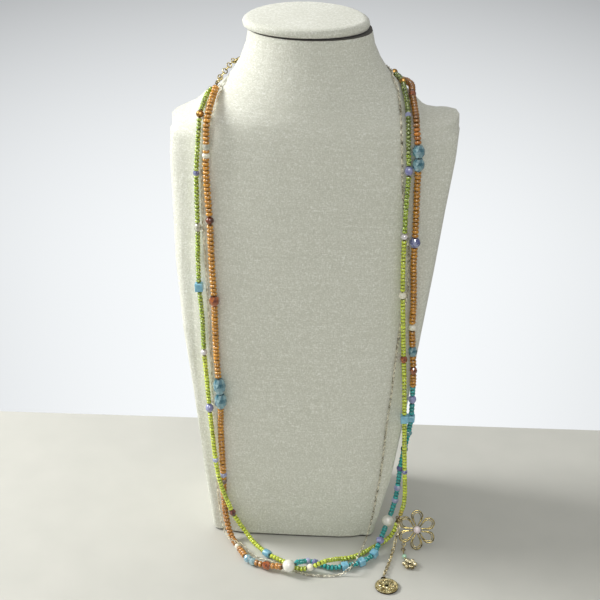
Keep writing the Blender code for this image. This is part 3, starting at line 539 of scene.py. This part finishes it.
def string_beads(name, node, radius, pitch, colour_at, luck):
    """Seed beads threaded along each stretch of a string, with a place left for each small accent."""
    rng = np.random.default_rng(luck)
    turns, hues, spots = [], [], []
    for run in runs_of(lines[node]):
        length = length_of(run)
        count = max(1, round(length / pitch))
        for place, direction in steps_along(run, count):
            hue, size = colour_at(place)
            size *= radius * (1 - SIZE_SPREAD * rng.random())
            half = length / count / 2 * TOUCH
            lean = (Matrix.Rotation(rng.normal(0, LEAN_SPREAD), 4, "X")
                    @ Matrix.Rotation(rng.normal(0, LEAN_SPREAD), 4, "Y"))
            turns.append(Matrix.Translation(place) @ along_line(direction, rng.random() * 6) @ lean
                         @ Matrix.Diagonal((size, size, half, 1)))
            hues.append(np.array(hue) * (1 + rng.normal(0, HUE_SPREAD)))
            spots.append((place, direction))
    left_out = set()
    for row in SMALL[node]:
        k = min(range(len(spots)), key=lambda k: (spots[k][0] - Vector(row[0]) / 1000).length)
        left_out.add(k)
        small_places.append((node, k, *spots[k], radius, *row[1:]))
    keep = [k for k in range(len(spots)) if k not in left_out]
    piece = many(name, seed, [turns[k] for k in keep], [hues[k] for k in keep], seed_painted_shade)
    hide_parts(node)
    return piece


# The small accents: place in millimetres, shape, look.
SMALL = {
    "orange_string_left": [
        ((-48.7, -31.8, 239.1), "facet", "clear"), ((-48.8, -32.2, 236.4), "round", "cream"),
        ((-40.6, -40.6, 42.0), "round", "mist"), ((-40.6, -40.4, 37.5), "round", "smoke"),
        ((-21.5, -68.0, 2.4), "facet", "ice")],
    "orange_string_right": [
        ((11.0, -65.7, 2.4), "round", "mist"), ((14.3, -66.3, 2.2), "facet", "violet"),
        ((59.1, -33.3, 23.9), "round", "mist"), ((60.4, -32.9, 34.6), "facet", "mist"),
        ((61.2, -32.6, 47.1), "round", "ink"), ((62.8, -32.3, 59.1), "round", "deep_green"),
        ((64.6, -32.0, 69.7), "round", "ice")],
    "lime_string_left": [
        ((-54.4, -29.8, 225.4), "facet", "violet"), ((-44.8, -42.5, 53.9), "facet", "mist")],
    "lime_string_right": [
        ((63.7, -38.0, 47.5), "facet", "violet"), ((55.3, -23.6, 257.8), "facet", "mist"),
        ((52.3, -0.1, 267.9), "round", "bronze"), ((47.5, 15.6, 267.8), "round", "bronze")],
}


# The colour of a seed bead at a place on each string, and its share of the usual size. The lime
# beads are silver lined above two heights, and no orange one is.
LINED_LEFT, LINED_RIGHT, ABOVE_ALL = 0.1213, 0.1956, 0.35


def orange_left(place):
    return (ORANGE if place.z > 0.03 else ORANGE_PALE, 1.0)


def orange_right(place):
    if place.z < 0.103 and place.y < 0:
        return (TEAL, 0.84)
    if place.z > 0.25 and place.y > -0.028:
        return (ORANGE_OLD, 1.0)
    return (ORANGE_DEEP if place.z > 0.235 else ORANGE, 1.0)


def lime_left(place):
    return (LIME_LINED if place.z > LINED_LEFT else LIME, 1.0)


def lime_right(place):
    if place.z > 0.24:
        return (OLIVE, 1.0)
    if place.z > LINED_RIGHT:
        return (LIME_LINED, 1.0)
    return (YELLOW, 0.95) if place.z < 0.021 and place.x > 0.055 else (LIME, 1.0)


def glass(name, roughness, lining, lined_from):
    """Glass in each bead's own colour with deeper streaks; where it is lined, darker pits and painted glints
    of light.
    """
    made = Finish(name, Roughness=roughness, Coat_Weight=1.0, Coat_Roughness=0.05, IOR=1.5)
    own = made.node("Attribute", {"attribute_name": "hue"})
    streak = made.grain(900.0, detail=2.0)
    pit_and_glint_noise = made.grain(1300.0, detail=1.0)
    high = made.node("SeparateXYZ", sockets=(made.spot(),), out=2)
    lined = made.node("MapRange", sockets={"Value": high, 1: lined_from, 2: lined_from + 0.002})
    colour = made.times(own, made.steps(streak, (0.34, (0.62, 0.58, 0.5)), (0.62, (1.12, 1.1, 1.05))))
    pits = made.steps(pit_and_glint_noise, (0.36, (1, 1, 1)), (0.46, (0, 0, 0)))
    # Painted glints: spots of pale light on the silver lining, painted into the colour.
    glint = made.steps(pit_and_glint_noise, (0.58, (0, 0, 0)), (0.66, (1, 1, 1)))
    share = lined * lining + lining * 0.15
    colour = made.between(pits * share, colour, made.times(own, (0.10, 0.16, 0.06, 1)))
    made.wear(Base_Color=made.between(glint * share, colour, (0.84, 0.93, 0.42, 1)),
              Roughness=roughness + streak * 0.15, Normal=made.bump(streak, 0.0002))
    return made.material


orange_glass = glass("orange_glass_beads", 0.18, 0.25, ABOVE_ALL)
lime_glass_left = glass("lime_glass_left_beads", 0.2, 0.75, LINED_LEFT)
lime_glass_right = glass("lime_glass_right_beads", 0.2, 0.75, LINED_RIGHT)
for node, radius, pitch, colour_at, finish, slot in (
        ("orange_string_left", 0.00200, 0.00225, orange_left, orange_glass, "orange_glass"),
        ("orange_string_right", 0.00200, 0.00218, orange_right, orange_glass, "orange_glass"),
        ("lime_string_left", 0.00150, 0.00200, lime_left, lime_glass_left, "lime_glass"),
        ("lime_string_right", 0.00150, 0.00200, lime_right, lime_glass_right, "lime_glass")):
    piece = string_beads(node + "_beads", node, radius, pitch, colour_at, len(node))
    piece.data.materials.append(finish)


# Larger beads on the strings
# Fire-polished crystals, glass pearls, satin cubes and ovals, one at each gap of the
# seed beads, drilled through and threaded on the same cord.
def shaped(kind):
    """A bead of radius 1 and half length 1 along Z."""
    if kind == "round":
        return drilled_ball(20, 12, 0.2, 0.2)
    clear_hands()
    if kind == "cube":
        bpy.ops.mesh.primitive_cube_add(size=2.0)
        item = bpy.context.object
        bpy.ops.object.mode_set(mode="EDIT")
        bpy.ops.mesh.select_all(action="SELECT")
        bpy.ops.mesh.bevel(offset=0.26, segments=3, profile=0.6)
        bpy.ops.mesh.select_all(action="DESELECT")
        bpy.ops.object.mode_set(mode="OBJECT")
        for face in item.data.polygons:
            face.select = abs(face.normal.z) > 0.99 and face.area > 1
        bpy.ops.object.mode_set(mode="EDIT")
        bpy.ops.mesh.select_mode(type="FACE")
        bpy.ops.mesh.inset(thickness=0.34)
        bpy.ops.mesh.inset(thickness=0.14)
        bpy.ops.object.mode_set(mode="OBJECT")
        for face in item.data.polygons:
            if face.select:
                for v in face.vertices:
                    item.data.vertices[v].co.z *= 0.8
        bpy.ops.object.shade_smooth_by_angle(angle=math.radians(40))
    elif kind == "barrel":
        bpy.ops.mesh.primitive_cylinder_add(vertices=20, radius=1.0, depth=2.0)
        item = bpy.context.object
        bpy.ops.object.mode_set(mode="EDIT")
        bpy.ops.mesh.select_all(action="SELECT")
        bpy.ops.mesh.bevel(offset=0.3, segments=4)
        bpy.ops.object.mode_set(mode="OBJECT")
        for face in item.data.polygons:
            face.select = abs(face.normal.z) > 0.99
        bpy.ops.object.mode_set(mode="EDIT")
        bpy.ops.mesh.select_mode(type="FACE")
        bpy.ops.mesh.inset(thickness=0.4)
        bpy.ops.transform.resize(value=(1, 1, 0.8))
        bpy.ops.object.mode_set(mode="OBJECT")
        bpy.ops.object.shade_smooth_by_angle(angle=math.radians(40))
    elif kind == "melon":
        item = bpy.data.objects.new(kind, drilled_ball(20, 10, 0.22, 0.25))
        bpy.context.scene.collection.objects.link(item)
        for v in item.data.vertices:
            groove = 0.5 + 0.5 * math.cos(5 * math.atan2(v.co.y, v.co.x))
            v.co.xy *= 1 - 0.22 * groove * min(1.0, v.co.xy.length * 1.4)
    else:
        sides, rings, belly = {"facet": (10, 6, 0.8), "bicone": (8, 4, 0.4), "rondelle": (12, 6, 0.7)}[kind]
        profile = [(0.0, 0.86), (0.60, 1.0), (0.93, belly * 0.62), (1.0, 0.0)]
        if kind == "bicone":
            del profile[2]
        bpy.ops.mesh.primitive_uv_sphere_add(segments=sides, ring_count=rings, radius=1.0)
        item = bpy.context.object
        for v in item.data.vertices:
            level = round(math.acos(max(-1.0, min(1.0, v.co.z))) / math.pi * rings)
            out, high = profile[min(level, rings - level)]
            turn = math.atan2(v.co.y, v.co.x) + (math.pi / sides if level % 2 else 0.0)
            v.co = (math.cos(turn) * out, math.sin(turn) * out, high if level <= rings / 2 else -high)
        bpy.ops.object.mode_set(mode="EDIT")
        bpy.ops.mesh.select_all(action="SELECT")
        bpy.ops.mesh.quads_convert_to_tris(quad_method="SHORTEST_DIAGONAL")
        bpy.ops.mesh.normals_make_consistent(inside=False)
        bpy.ops.object.mode_set(mode="OBJECT")
        bpy.ops.object.shade_flat()
    # Each face has its own tone, which the crystal's finish reads. Blender's order of a sphere's
    # faces changes from run to run, so they are taken by their vertices.
    mesh = item.data
    cut = mesh.attributes.new("facet", "FLOAT_COLOR", "CORNER")
    tones = np.random.default_rng(len(mesh.polygons)).random(len(mesh.polygons))
    for tone, face in zip(tones, sorted(mesh.polygons, key=lambda face: sorted(face.vertices))):
        for corner in face.loop_indices:
            cut.data[corner].color = (tone, tone, tone, 1.0)
    bpy.data.objects.remove(item)
    return mesh


BLACK, GREY, WHITE = (0, 0, 0), (0.45, 0.45, 0.45), (1, 1, 1)


def crystal(name, deep, pale, clear=0.3):
    """Cut glass: deep inside, pale and glinting on the facets that catch the light."""
    made = Finish(name, Roughness=0.05, IOR=1.54, Coat_Weight=1.0, Coat_Roughness=0.02,
                  Transmission_Weight=clear)
    flash = made.grain(460.0, detail=1.0)
    facet = made.node("Attribute", {"attribute_name": "facet"}, out=2)
    share = made.steps(facet * 0.8 + flash * 0.3, (0.24, BLACK), (0.62, GREY), (0.90, WHITE))
    made.wear(Base_Color=made.between(share, deep, pale), Roughness=0.03 + flash * 0.08)
    return made.material


def satin(name, deep, pale, rough=0.28):
    """Pressed satin glass, clouded inside, with fine scuffs on its edges."""
    made = Finish(name, Roughness=rough, Coat_Weight=0.5, Coat_Roughness=0.12,
                  Subsurface_Weight=0.2, Subsurface_Radius=(0.001, 0.001, 0.001), Subsurface_Scale=1.0)
    cloudy = made.grain(380.0, detail=3.0)
    scuff = made.grain(2600.0, detail=2.0)
    share = made.steps(cloudy, (0.35, BLACK), (0.65, WHITE))
    made.wear(Base_Color=made.between(share, deep, pale), Roughness=rough - 0.1 + scuff * 0.3,
              Normal=made.bump(scuff, 0.00008))
    return made.material


def nacre(name, body, blush, shade):
    """Pearl: a creamy body with a pink and green bloom under a soft gloss, and painted shade towards its rim.
    """
    made = Finish(name, Roughness=0.2, Coat_Weight=1.0, Coat_Roughness=0.04, Specular_IOR_Level=0.8,
                  Subsurface_Weight=0.15, Subsurface_Radius=(0.001, 0.001, 0.001), Subsurface_Scale=1.0)
    bloom = made.grain(240.0, detail=1.0)
    # Painted shade: the rim is turned halfway towards the shade colour.
    rim = made.node("LayerWeight", sockets={"Blend": 0.45}, out=1)
    pits = made.grain(1800.0, detail=3.0)
    skin = made.between(made.steps(bloom, (0.4, BLACK), (0.62, WHITE)), body, blush)
    made.wear(Base_Color=made.between(rim * 0.5, skin, shade), Roughness=0.12 + pits * 0.2,
              Normal=made.bump(pits, 0.00006))
    return made.material


looks = {
    "turquoise": crystal("turquoise_crystal_glass", rgb(44, 116, 138), rgb(186, 226, 234)),
    "blue": crystal("blue_crystal_glass", rgb(84, 166, 196), rgb(214, 238, 246)),
    "ice": crystal("ice_crystal_glass", rgb(120, 180, 190), rgb(226, 240, 242)),
    "amber": crystal("amber_crystal_glass", rgb(110, 42, 8), rgb(206, 112, 34), 0.0),
    "dark_amber": crystal("dark_amber_glass", rgb(92, 36, 8), rgb(200, 104, 36), 0.0),
    "clear": crystal("clear_crystal_glass", rgb(206, 208, 184), rgb(252, 252, 240), 0.35),
    "violet": crystal("violet_crystal_glass", rgb(84, 92, 160), rgb(190, 196, 232), 0.2),
    "ink": satin("ink_bead_glass", rgb(52, 66, 120), rgb(96, 104, 168), 0.2),
    "deep_green": satin("deep_green_glass", rgb(14, 60, 48), rgb(40, 110, 86), 0.2),
    "smoke": satin("smoke_bead_glass", rgb(120, 96, 84), rgb(170, 150, 136), 0.22),
    "mist": satin("mist_bead_glass", rgb(140, 146, 190), rgb(196, 200, 224), 0.25),
    "brown": satin("brown_bead_glass", rgb(70, 26, 8), rgb(132, 60, 20), 0.2),
    "sky": satin("sky_satin_glass", rgb(106, 176, 208), rgb(152, 208, 226), 0.2),
    "lilac": satin("lilac_satin_glass", rgb(128, 130, 188), rgb(170, 174, 214), 0.2),
    "plum": crystal("plum_bead_glass", rgb(66, 26, 28), rgb(140, 70, 56), 0.0),
    "cream": satin("cream_bead_glass", rgb(238, 232, 206), rgb(252, 250, 238), 0.3),
    "pearl": nacre("pearl_nacre", rgb(254, 253, 244), rgb(252, 246, 238), rgb(196, 200, 176)),
    "silver": nacre("grey_pearl_nacre", rgb(226, 224, 226), rgb(238, 232, 236), rgb(132, 130, 138)),
}
bronze = Finish("bronze_bead_metal", Metallic=1.0, Roughness=0.25)
worn = bronze.grain(700.0, detail=3.0)
bronze.wear(Base_Color=bronze.between(worn, rgb(110, 72, 34), rgb(206, 164, 96)), Roughness=0.15 + worn * 0.3)
looks["bronze"] = bronze.material

# node: shape, diameter and length in millimetres, look, material slot
LARGER = {
    "ol_brown_round": ("round", 4.4, 4.1, "brown", "brown_round"),
    "ol_amber_faceted": ("facet", 5.8, 5.4, "amber", "amber_crystal"),
    "ol_turquoise_large": ("facet", 7.2, 8.9, "turquoise", "turquoise_crystal"),
    "ol_turquoise_large_2": ("facet", 7.2, 8.9, "turquoise", "turquoise_crystal"),
    "ol_cream_small": ("round", 3.8, 3.4, "cream", "cream"),
    "ol_blue_crystal": ("facet", 4.8, 4.4, "blue", "blue_crystal"),
    "ol_amber_dark": ("facet", 5.2, 4.8, "dark_amber", "amber_crystal"),
    "or_pearl_large": ("round", 7.5, 7.2, "pearl", "pearl"),
    "or_pearl_large_2": ("round", 7.5, 7.2, "pearl", "pearl"),
    "or_cube": ("cube", 4.0, 3.9, "sky", "cats_eye"),
    "or_cube_2": ("cube", 4.0, 3.9, "sky", "cats_eye"),
    "or_cube_3": ("cube", 4.0, 3.9, "sky", "cats_eye"),
    "or_cube_4": ("cube", 4.0, 3.9, "sky", "cats_eye"),
    "or_purple_star": ("melon", 5.2, 4.4, "lilac", "purple_glass"),
    "or_purple_oval": ("round", 4.5, 5.0, "lilac", "purple_glass"),
    "or_brown_crystal": ("facet", 4.2, 4.2, "dark_amber", "amber_crystal"),
    "or_turquoise_small": ("facet", 5.0, 5.6, "turquoise", "turquoise_crystal"),
    "or_cream_round": ("round", 4.3, 4.0, "cream", "cream"),
    "or_purple_rondelle": ("rondelle", 6.2, 4.8, "violet", "purple_crystal"),
    "or_turquoise": ("facet", 6.6, 6.4, "turquoise", "turquoise_crystal"),
    "or_turquoise_2": ("facet", 6.6, 6.4, "turquoise", "turquoise_crystal"),
    "or_amber_red": ("facet", 4.2, 4.2, "dark_amber", "amber_crystal"),
    "ll_bronze_round": ("round", 4.2, 4.0, "bronze", "bronze"),
    "ll_clear_crystal": ("facet", 4.0, 4.0, "clear", "clear_crystal"),
    "ll_cube_large": ("cube", 4.4, 4.6, "sky", "cats_eye"),
    "ll_pearl_small": ("round", 3.6, 3.4, "silver", "pearl"),
    "ll_purple_oval": ("round", 4.5, 5.0, "lilac", "purple_glass"),
    "ll_brown_bicone": ("bicone", 4.2, 4.0, "plum", "brown_round"),
    "ll_barrel": ("barrel", 4.4, 4.6, "sky", "cats_eye"),
    "ll_cream_round": ("round", 4.3, 4.0, "cream", "cream"),
    "lr_cube_large": ("cube", 4.4, 4.6, "sky", "cats_eye"),
    "lr_amber_small": ("facet", 4.0, 4.0, "amber", "amber_crystal"),
    "lr_cream_round": ("round", 4.3, 4.0, "cream", "cream"),
    "lr_pearl_small": ("round", 3.6, 3.4, "silver", "pearl"),
    "lr_purple_oval": ("round", 4.5, 5.0, "lilac", "purple_glass"),
}
BOTTOM_PEARL = (Vector((-0.0003, -0.0748, 0.0057)), Vector((0.94, 0.22, 0.12)).normalized())
bores = [((a + b) / 2, (b - a).normalized()) for line in lines.values()
         for (a, one), (b, other) in zip(line, line[1:]) if max(one, other) < 0.001] + [BOTTOM_PEARL]
shapes = {}


def bore_of(node):
    """Middle of a node's box, and the middle and direction of the bore nearest to it."""
    low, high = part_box(node)
    return ((low + high) / 2, *min(bores, key=lambda bore: (bore[0] - (low + high) / 2).length))


def set_bead(name, kind, place, turn, radius, half, finish):
    """One bead of a kind, by its place, turn, radius and half length."""
    if kind not in shapes:
        shapes[kind] = shaped(kind)
    mesh = shapes[kind].copy()
    mesh.transform(Matrix.Translation(place) @ turn @ Matrix.Diagonal((radius, radius, half, 1)))
    mesh.materials.append(finish)
    return laid(name, mesh)


for node, (kind, across, length, look, slot) in LARGER.items():
    centre, _, direction = bore_of(node)
    piece = set_bead(node + "_bead", kind, centre, along_line(direction), across / 2000, length / 2000,
                     looks[look])
    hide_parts(node)


# The small accents between the seed beads. The bronze ones are larger and stand off the shoulder.
SHORTEST_HALF = 0.00118
for node, k, place, direction, radius, kind, look in small_places:
    across = radius * (1.12 if kind == "facet" else 1.06)
    if look == "bronze":
        across = 0.0020
        place = place + Vector((0.4, 0.0, 0.9)).normalized() * 0.0005
    piece = set_bead(f"{node}_{look}_{k}", kind, place, along_line(direction), across,
                     max(SHORTEST_HALF, across * 0.85), looks[look])


# Fine gold chains
# Cable chain of oval wire links, each turned a quarter from the last, closed and
# gilded. Two lengths run from the rings to the flower, a coarser one carries the coin.
def gold(name, dark, light, rough=0.16, low=None, metal=1.0):
    """Plated metal with duller patches and fine rubbing, and dark in the hollows below a height."""
    made = Finish(name, Metallic=metal, Roughness=rough)
    tarnish = made.grain(520.0, detail=3.0)
    rub = made.grain(3000.0, detail=2.0)
    colour = made.between(made.steps(tarnish, (0.36, BLACK), (0.60, WHITE)), dark, light)
    if low:
        high = made.node("SeparateXYZ", sockets=(made.spot(),), out=2)
        hollow = made.node("MapRange", sockets={"Value": high, 1: low, 2: low + 0.00012})
        colour = made.between(hollow, rgb(52, 38, 14), colour)
    made.wear(Base_Color=colour, Roughness=rough + rub * 0.25, Normal=made.bump(rub, 0.00005))
    return made.material


gilt = gold("gold_plate", rgb(84, 72, 36), rgb(222, 204, 150))
# The fine chains are only partly metal, with a near-white colour: a painted sheen that stands in for their
# reflections.
gilt_painted_sheen = gold("gold_chain_painted_sheen", rgb(96, 84, 56), rgb(252, 246, 226), 0.2, metal=0.6)


def link_mesh(around, thick, wide):
    """An oval link along Z and open towards X, its wire a share of its half width of 1."""
    clear_hands()
    bpy.ops.mesh.primitive_torus_add(major_segments=around, minor_segments=thick, major_radius=1 - wide,
                                     minor_radius=wide, rotation=(0, math.pi / 2, 0))
    item = bpy.context.object
    bpy.ops.object.transform_apply(location=False, rotation=True, scale=False)
    bpy.ops.object.shade_smooth()
    mesh = item.data
    bpy.data.objects.remove(item)
    return mesh


LINK_REACH, OFF_TABLE = 0.72, 0.00003


def chain_along(name, node, half_width, pitch, link, finish, luck):
    """Links along a CAD tube's line, each a quarter turn on from the last and just clear of the table."""
    rng = np.random.default_rng(luck)
    points = [point for point, radius in line_of(node)]
    turns = []
    for k, (place, direction) in enumerate(steps_along(points, round(length_of(points) / pitch))):
        place.z = max(place.z, half_width + OFF_TABLE)
        roll = math.pi / 4 + (k % 2) * math.pi / 2 + rng.normal(0, 0.15)
        turns.append(Matrix.Translation(place) @ along_line(direction, roll)
                     @ Matrix.Diagonal((half_width, half_width, pitch * LINK_REACH, 1)))
    piece = many(name, link, turns)
    piece.data.materials.append(finish)
    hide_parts(node)


fine_link = link_mesh(10, 4, 0.27)
# The left fine chain's near-white, part-metal gold is likewise a painted sheen.
chain_along("fine_chain_left", "gold_chain_left", 0.00082, 0.00155, fine_link,
            gold("bright_gold_chain", rgb(176, 166, 134), rgb(250, 246, 228), 0.2, metal=0.6), 3)
chain_along("fine_chain_right", "gold_chain_right", 0.00082, 0.00155, fine_link, gilt_painted_sheen, 4)
chain_along("coin_chain_links", "coin_chain", 0.00112, 0.0020, link_mesh(16, 8, 0.24),
            gold("coin_chain_gold", rgb(124, 106, 60), rgb(242, 228, 186), 0.14, metal=0.85), 5)

# Rings, clasp and extender
# Gold-plated wire bent round: two rings that gather the strings, a trigger clasp and a
# short extender of oval links between them.
for node in ("front_ring", "back_ring", "pendant_ring", "clasp", "extender_chain", "charm_chain"):
    piece = merged_copy(node, node + "_gold", 60)
    piece.data.materials.append(gilt)

# Three jump rings that join the bead strings to the pendant ring.
JUMP_RING = 0.00125
_, middle, direction = bore_of("pendant_ring")
turns = [Matrix.Translation(middle + direction * step) @ along_line(direction, 0.4)
         @ Matrix.Rotation(tip, 4, "X") @ Matrix.Diagonal((JUMP_RING, JUMP_RING, JUMP_RING, 1))
         @ Matrix.Rotation(math.pi / 2, 4, "Y")
         for step, tip in ((-0.0009, 0.2), (0.0, -0.15), (0.0009, 0.25))]
jump_rings = many("pendant_jump_rings", link_mesh(20, 8, 0.26), turns)
jump_rings.data.materials.append(gilt)

# Wire flower
# Six petals, each of two gold wires bent into loops one inside the other, soldered to a
# beaded setting that holds a round pearl.
FLOWER = Matrix.Translation((0.0726, -0.0408, 0.0098)) @ Matrix.Rotation(math.radians(54), 4, "X")


def joined(name, pieces):
    """Several finished meshes as one piece."""
    take_up(*pieces)
    bpy.ops.object.join()
    bpy.context.object.name = name
    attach(bpy.context.object, "root")
    return bpy.context.object


def drop_of(radius, turn, sides=8):
    """A small round drop of metal."""
    clear_hands()
    bpy.ops.mesh.primitive_uv_sphere_add(segments=sides, ring_count=6, radius=radius)
    bpy.ops.object.shade_smooth()
    bpy.context.object.data.transform(turn)
    return bpy.context.object


# A petal's outline, as shares of its reach and of its half width. Each wire has its half
# width, reach, lift and radius.
PETAL = ((0.15, 0.12), (0.25, 0.26), (0.35, 0.44), (0.45, 0.66), (0.55, 0.85), (0.65, 0.96),
         (0.75, 1.0), (0.84, 0.88), (0.91, 0.68), (0.96, 0.46), (0.99, 0.22), (1.0, 0.0))
WIRES = ((0.0032, 0.0112, 0.0, 0.00040), (0.0023, 0.0101, 0.0003, 0.00027))
petals = []
for k in range(6):
    turn = FLOWER @ Matrix.Rotation(-math.tau * k / 6, 4, "Z")
    for width, reach, lift, thick in WIRES:
        loop = [Vector((width * wide, reach * share, lift * share)) for share, wide in PETAL]
        loop += [Vector((-p.x, p.y, p.z)) for p in loop[-2::-1]]
        fine = [place for place, direction in steps_along(loop, 60)]
        petals.append(wire("petal", [turn @ point for point in fine], thick))
    for share, side in ((1.0, 0.0), (0.70, 1.0), (0.70, -1.0)):
        petals.append(drop_of(0.00041, turn @ Matrix.Translation((0.0031 * side, 0.0111 * share, 0.0))))
clear_hands()
bpy.ops.mesh.primitive_cylinder_add(vertices=24, radius=0.0021, depth=0.0014)
setting = bpy.context.object
bpy.ops.object.mode_set(mode="EDIT")
bpy.ops.mesh.select_all(action="SELECT")
bpy.ops.mesh.bevel(offset=0.0003, segments=2)
bpy.ops.object.mode_set(mode="OBJECT")
bpy.ops.object.shade_smooth_by_angle(angle=math.radians(40))
setting.data.transform(FLOWER)
petals.append(setting)
for k in range(14):
    turn = FLOWER @ Matrix.Rotation(math.tau * k / 14, 4, "Z")
    petals.append(drop_of(0.0004, turn @ Matrix.Translation((0.0020, 0, 0.0007))))
flower = joined("wire_flower_petals", petals)
flower.data.materials.clear()
flower.data.materials.append(gold("flower_wire_gold", rgb(58, 52, 28), rgb(176, 160, 106), 0.1))
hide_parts("wire_flower")

low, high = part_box("flower_pearl")
pearl = set_bead("flower_pearl_round", "round", (low + high) / 2, FLOWER.to_3x3().to_4x4(), 0.00225, 0.00207,
                 nacre("rosy_pearl_nacre", rgb(250, 242, 240), rgb(248, 232, 236), rgb(190, 170, 170)))
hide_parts("flower_pearl")

# Coin
# A struck gold-plated disc with a raised rim, rays and grains round a drilled boss, and
# a wire bail soldered to its edge.
COIN_X, COIN_Y = 0.0554, -0.0826
coin_turn = Matrix.Translation((COIN_X, COIN_Y, 0.0001))

# Half of the coin's section in millimetres: distance from its middle, and height.
SECTION = [(1.0, 1.2), (1.9, 1.2), (2.15, 0.92), (5.4, 0.92), (5.7, 1.16), (6.1, 1.2), (6.5, 1.12),
           (6.6, 0.9), (6.6, 0.3), (6.4, 0.0), (1.0, 0.0), (1.0, 1.2)]
shape = bpy.data.meshes.new("coin")
shape.from_pydata([(x / 1000, 0, z / 1000) for x, z in SECTION],
                  [(i, i + 1) for i in range(len(SECTION) - 1)], [])
coin = bpy.data.objects.new("coin_struck", shape)
bpy.context.scene.collection.objects.link(coin)
take_up(coin)
bpy.ops.object.mode_set(mode="EDIT")
bpy.ops.mesh.select_all(action="SELECT")
bpy.ops.mesh.spin(steps=64, angle=math.tau, center=(0, 0, 0), axis=(0, 0, 1))
bpy.ops.mesh.select_all(action="SELECT")
bpy.ops.mesh.remove_doubles(threshold=0.000002)
bpy.ops.mesh.normals_make_consistent(inside=False)
bpy.ops.object.mode_set(mode="OBJECT")
bpy.ops.object.shade_smooth_by_angle(angle=math.radians(35))
coin.data.transform(coin_turn)
parts = [coin]

# Rings of struck grains and rays: how many, distance out and radius in millimetres, how much
# longer and wider than round, and the share of a step that the ring starts at.
GRAINS = ((12, 3.75, 0.42, 3.2, 1.0, 0.0), (12, 2.55, 0.22, 1.0, 1.0, 0.5), (12, 4.75, 0.26, 1.3, 1.3, 0.5),
          (44, 5.35, 0.20, 1.0, 1.0, 0.0))
for count, out, size, long, wide, start in GRAINS:
    for k in range(count):
        turn = coin_turn @ Matrix.Rotation(math.tau * (k + start) / count, 4, "Z")
        parts.append(drop_of(size / 1000, turn @ Matrix.Translation((out / 1000, 0, 0.00090))
                             @ Matrix.Diagonal((long, wide, 0.27 / size, 1)), sides=10))
HANG = -0.25
centre = Vector((COIN_X + math.sin(HANG) * 0.00726, COIN_Y + math.cos(HANG) * 0.00726, 0.0005))
turns = [math.tau * k / 24 for k in range(24)]
bail = [centre + Vector((math.cos(turn), math.sin(turn), 0)) * 0.0011 for turn in turns]
parts.append(wire("bail", bail, 0.0004, closed=True))
coin = joined("coin_struck", parts)
coin.data.materials.clear()
coin.data.materials.append(gold("coin_gold", rgb(170, 148, 92), rgb(242, 230, 188), 0.14, 0.00094))
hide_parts("coin")

# Flower charm and its mint bead
# Six cast gold nuggets round a pierced disc, hung by a loop from a wire pin, with a
# small mint-green glass bead on the pin.
centre = Vector((0.0686, -0.0624, 0.0))
charm = merged_copy("flower_charm", "charm_body", 50)
parts = [charm]
rng = np.random.default_rng(8)
way = math.atan2(-0.0556 - centre.y, 0.0656 - centre.x)
for k in range(6):
    for step in (-2, -1, 0, 1, 2):
        clear_hands()
        bpy.ops.mesh.primitive_ico_sphere_add(subdivisions=2, radius=0.00045 + 0.0002 * rng.random())
        bpy.ops.object.shade_smooth()
        nugget = bpy.context.object
        side = way + math.tau * k / 6 + step * 0.16
        out = 0.0037 - abs(step) * 0.00045
        place = centre + Vector((math.cos(side) * out, math.sin(side) * out, 0.0021 - abs(step) * 0.0002))
        nugget.data.transform(Matrix.Translation(place))
        parts.append(nugget)
charm = joined("charm_nuggets", parts)
charm.data.materials.clear()
charm.data.materials.append(gold("charm_gold", rgb(116, 100, 54), rgb(244, 232, 194), 0.12, metal=0.85))

low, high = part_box("mint_bead")
PIN = Vector((0.5, -4.2, -0.2)).normalized()
mint = set_bead("mint_bead_round", "round", (low + high) / 2, along_line(PIN), 0.0013, 0.00117,
                satin("mint_bead_glass", rgb(120, 200, 160), rgb(190, 232, 205), 0.15))
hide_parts("mint_bead")
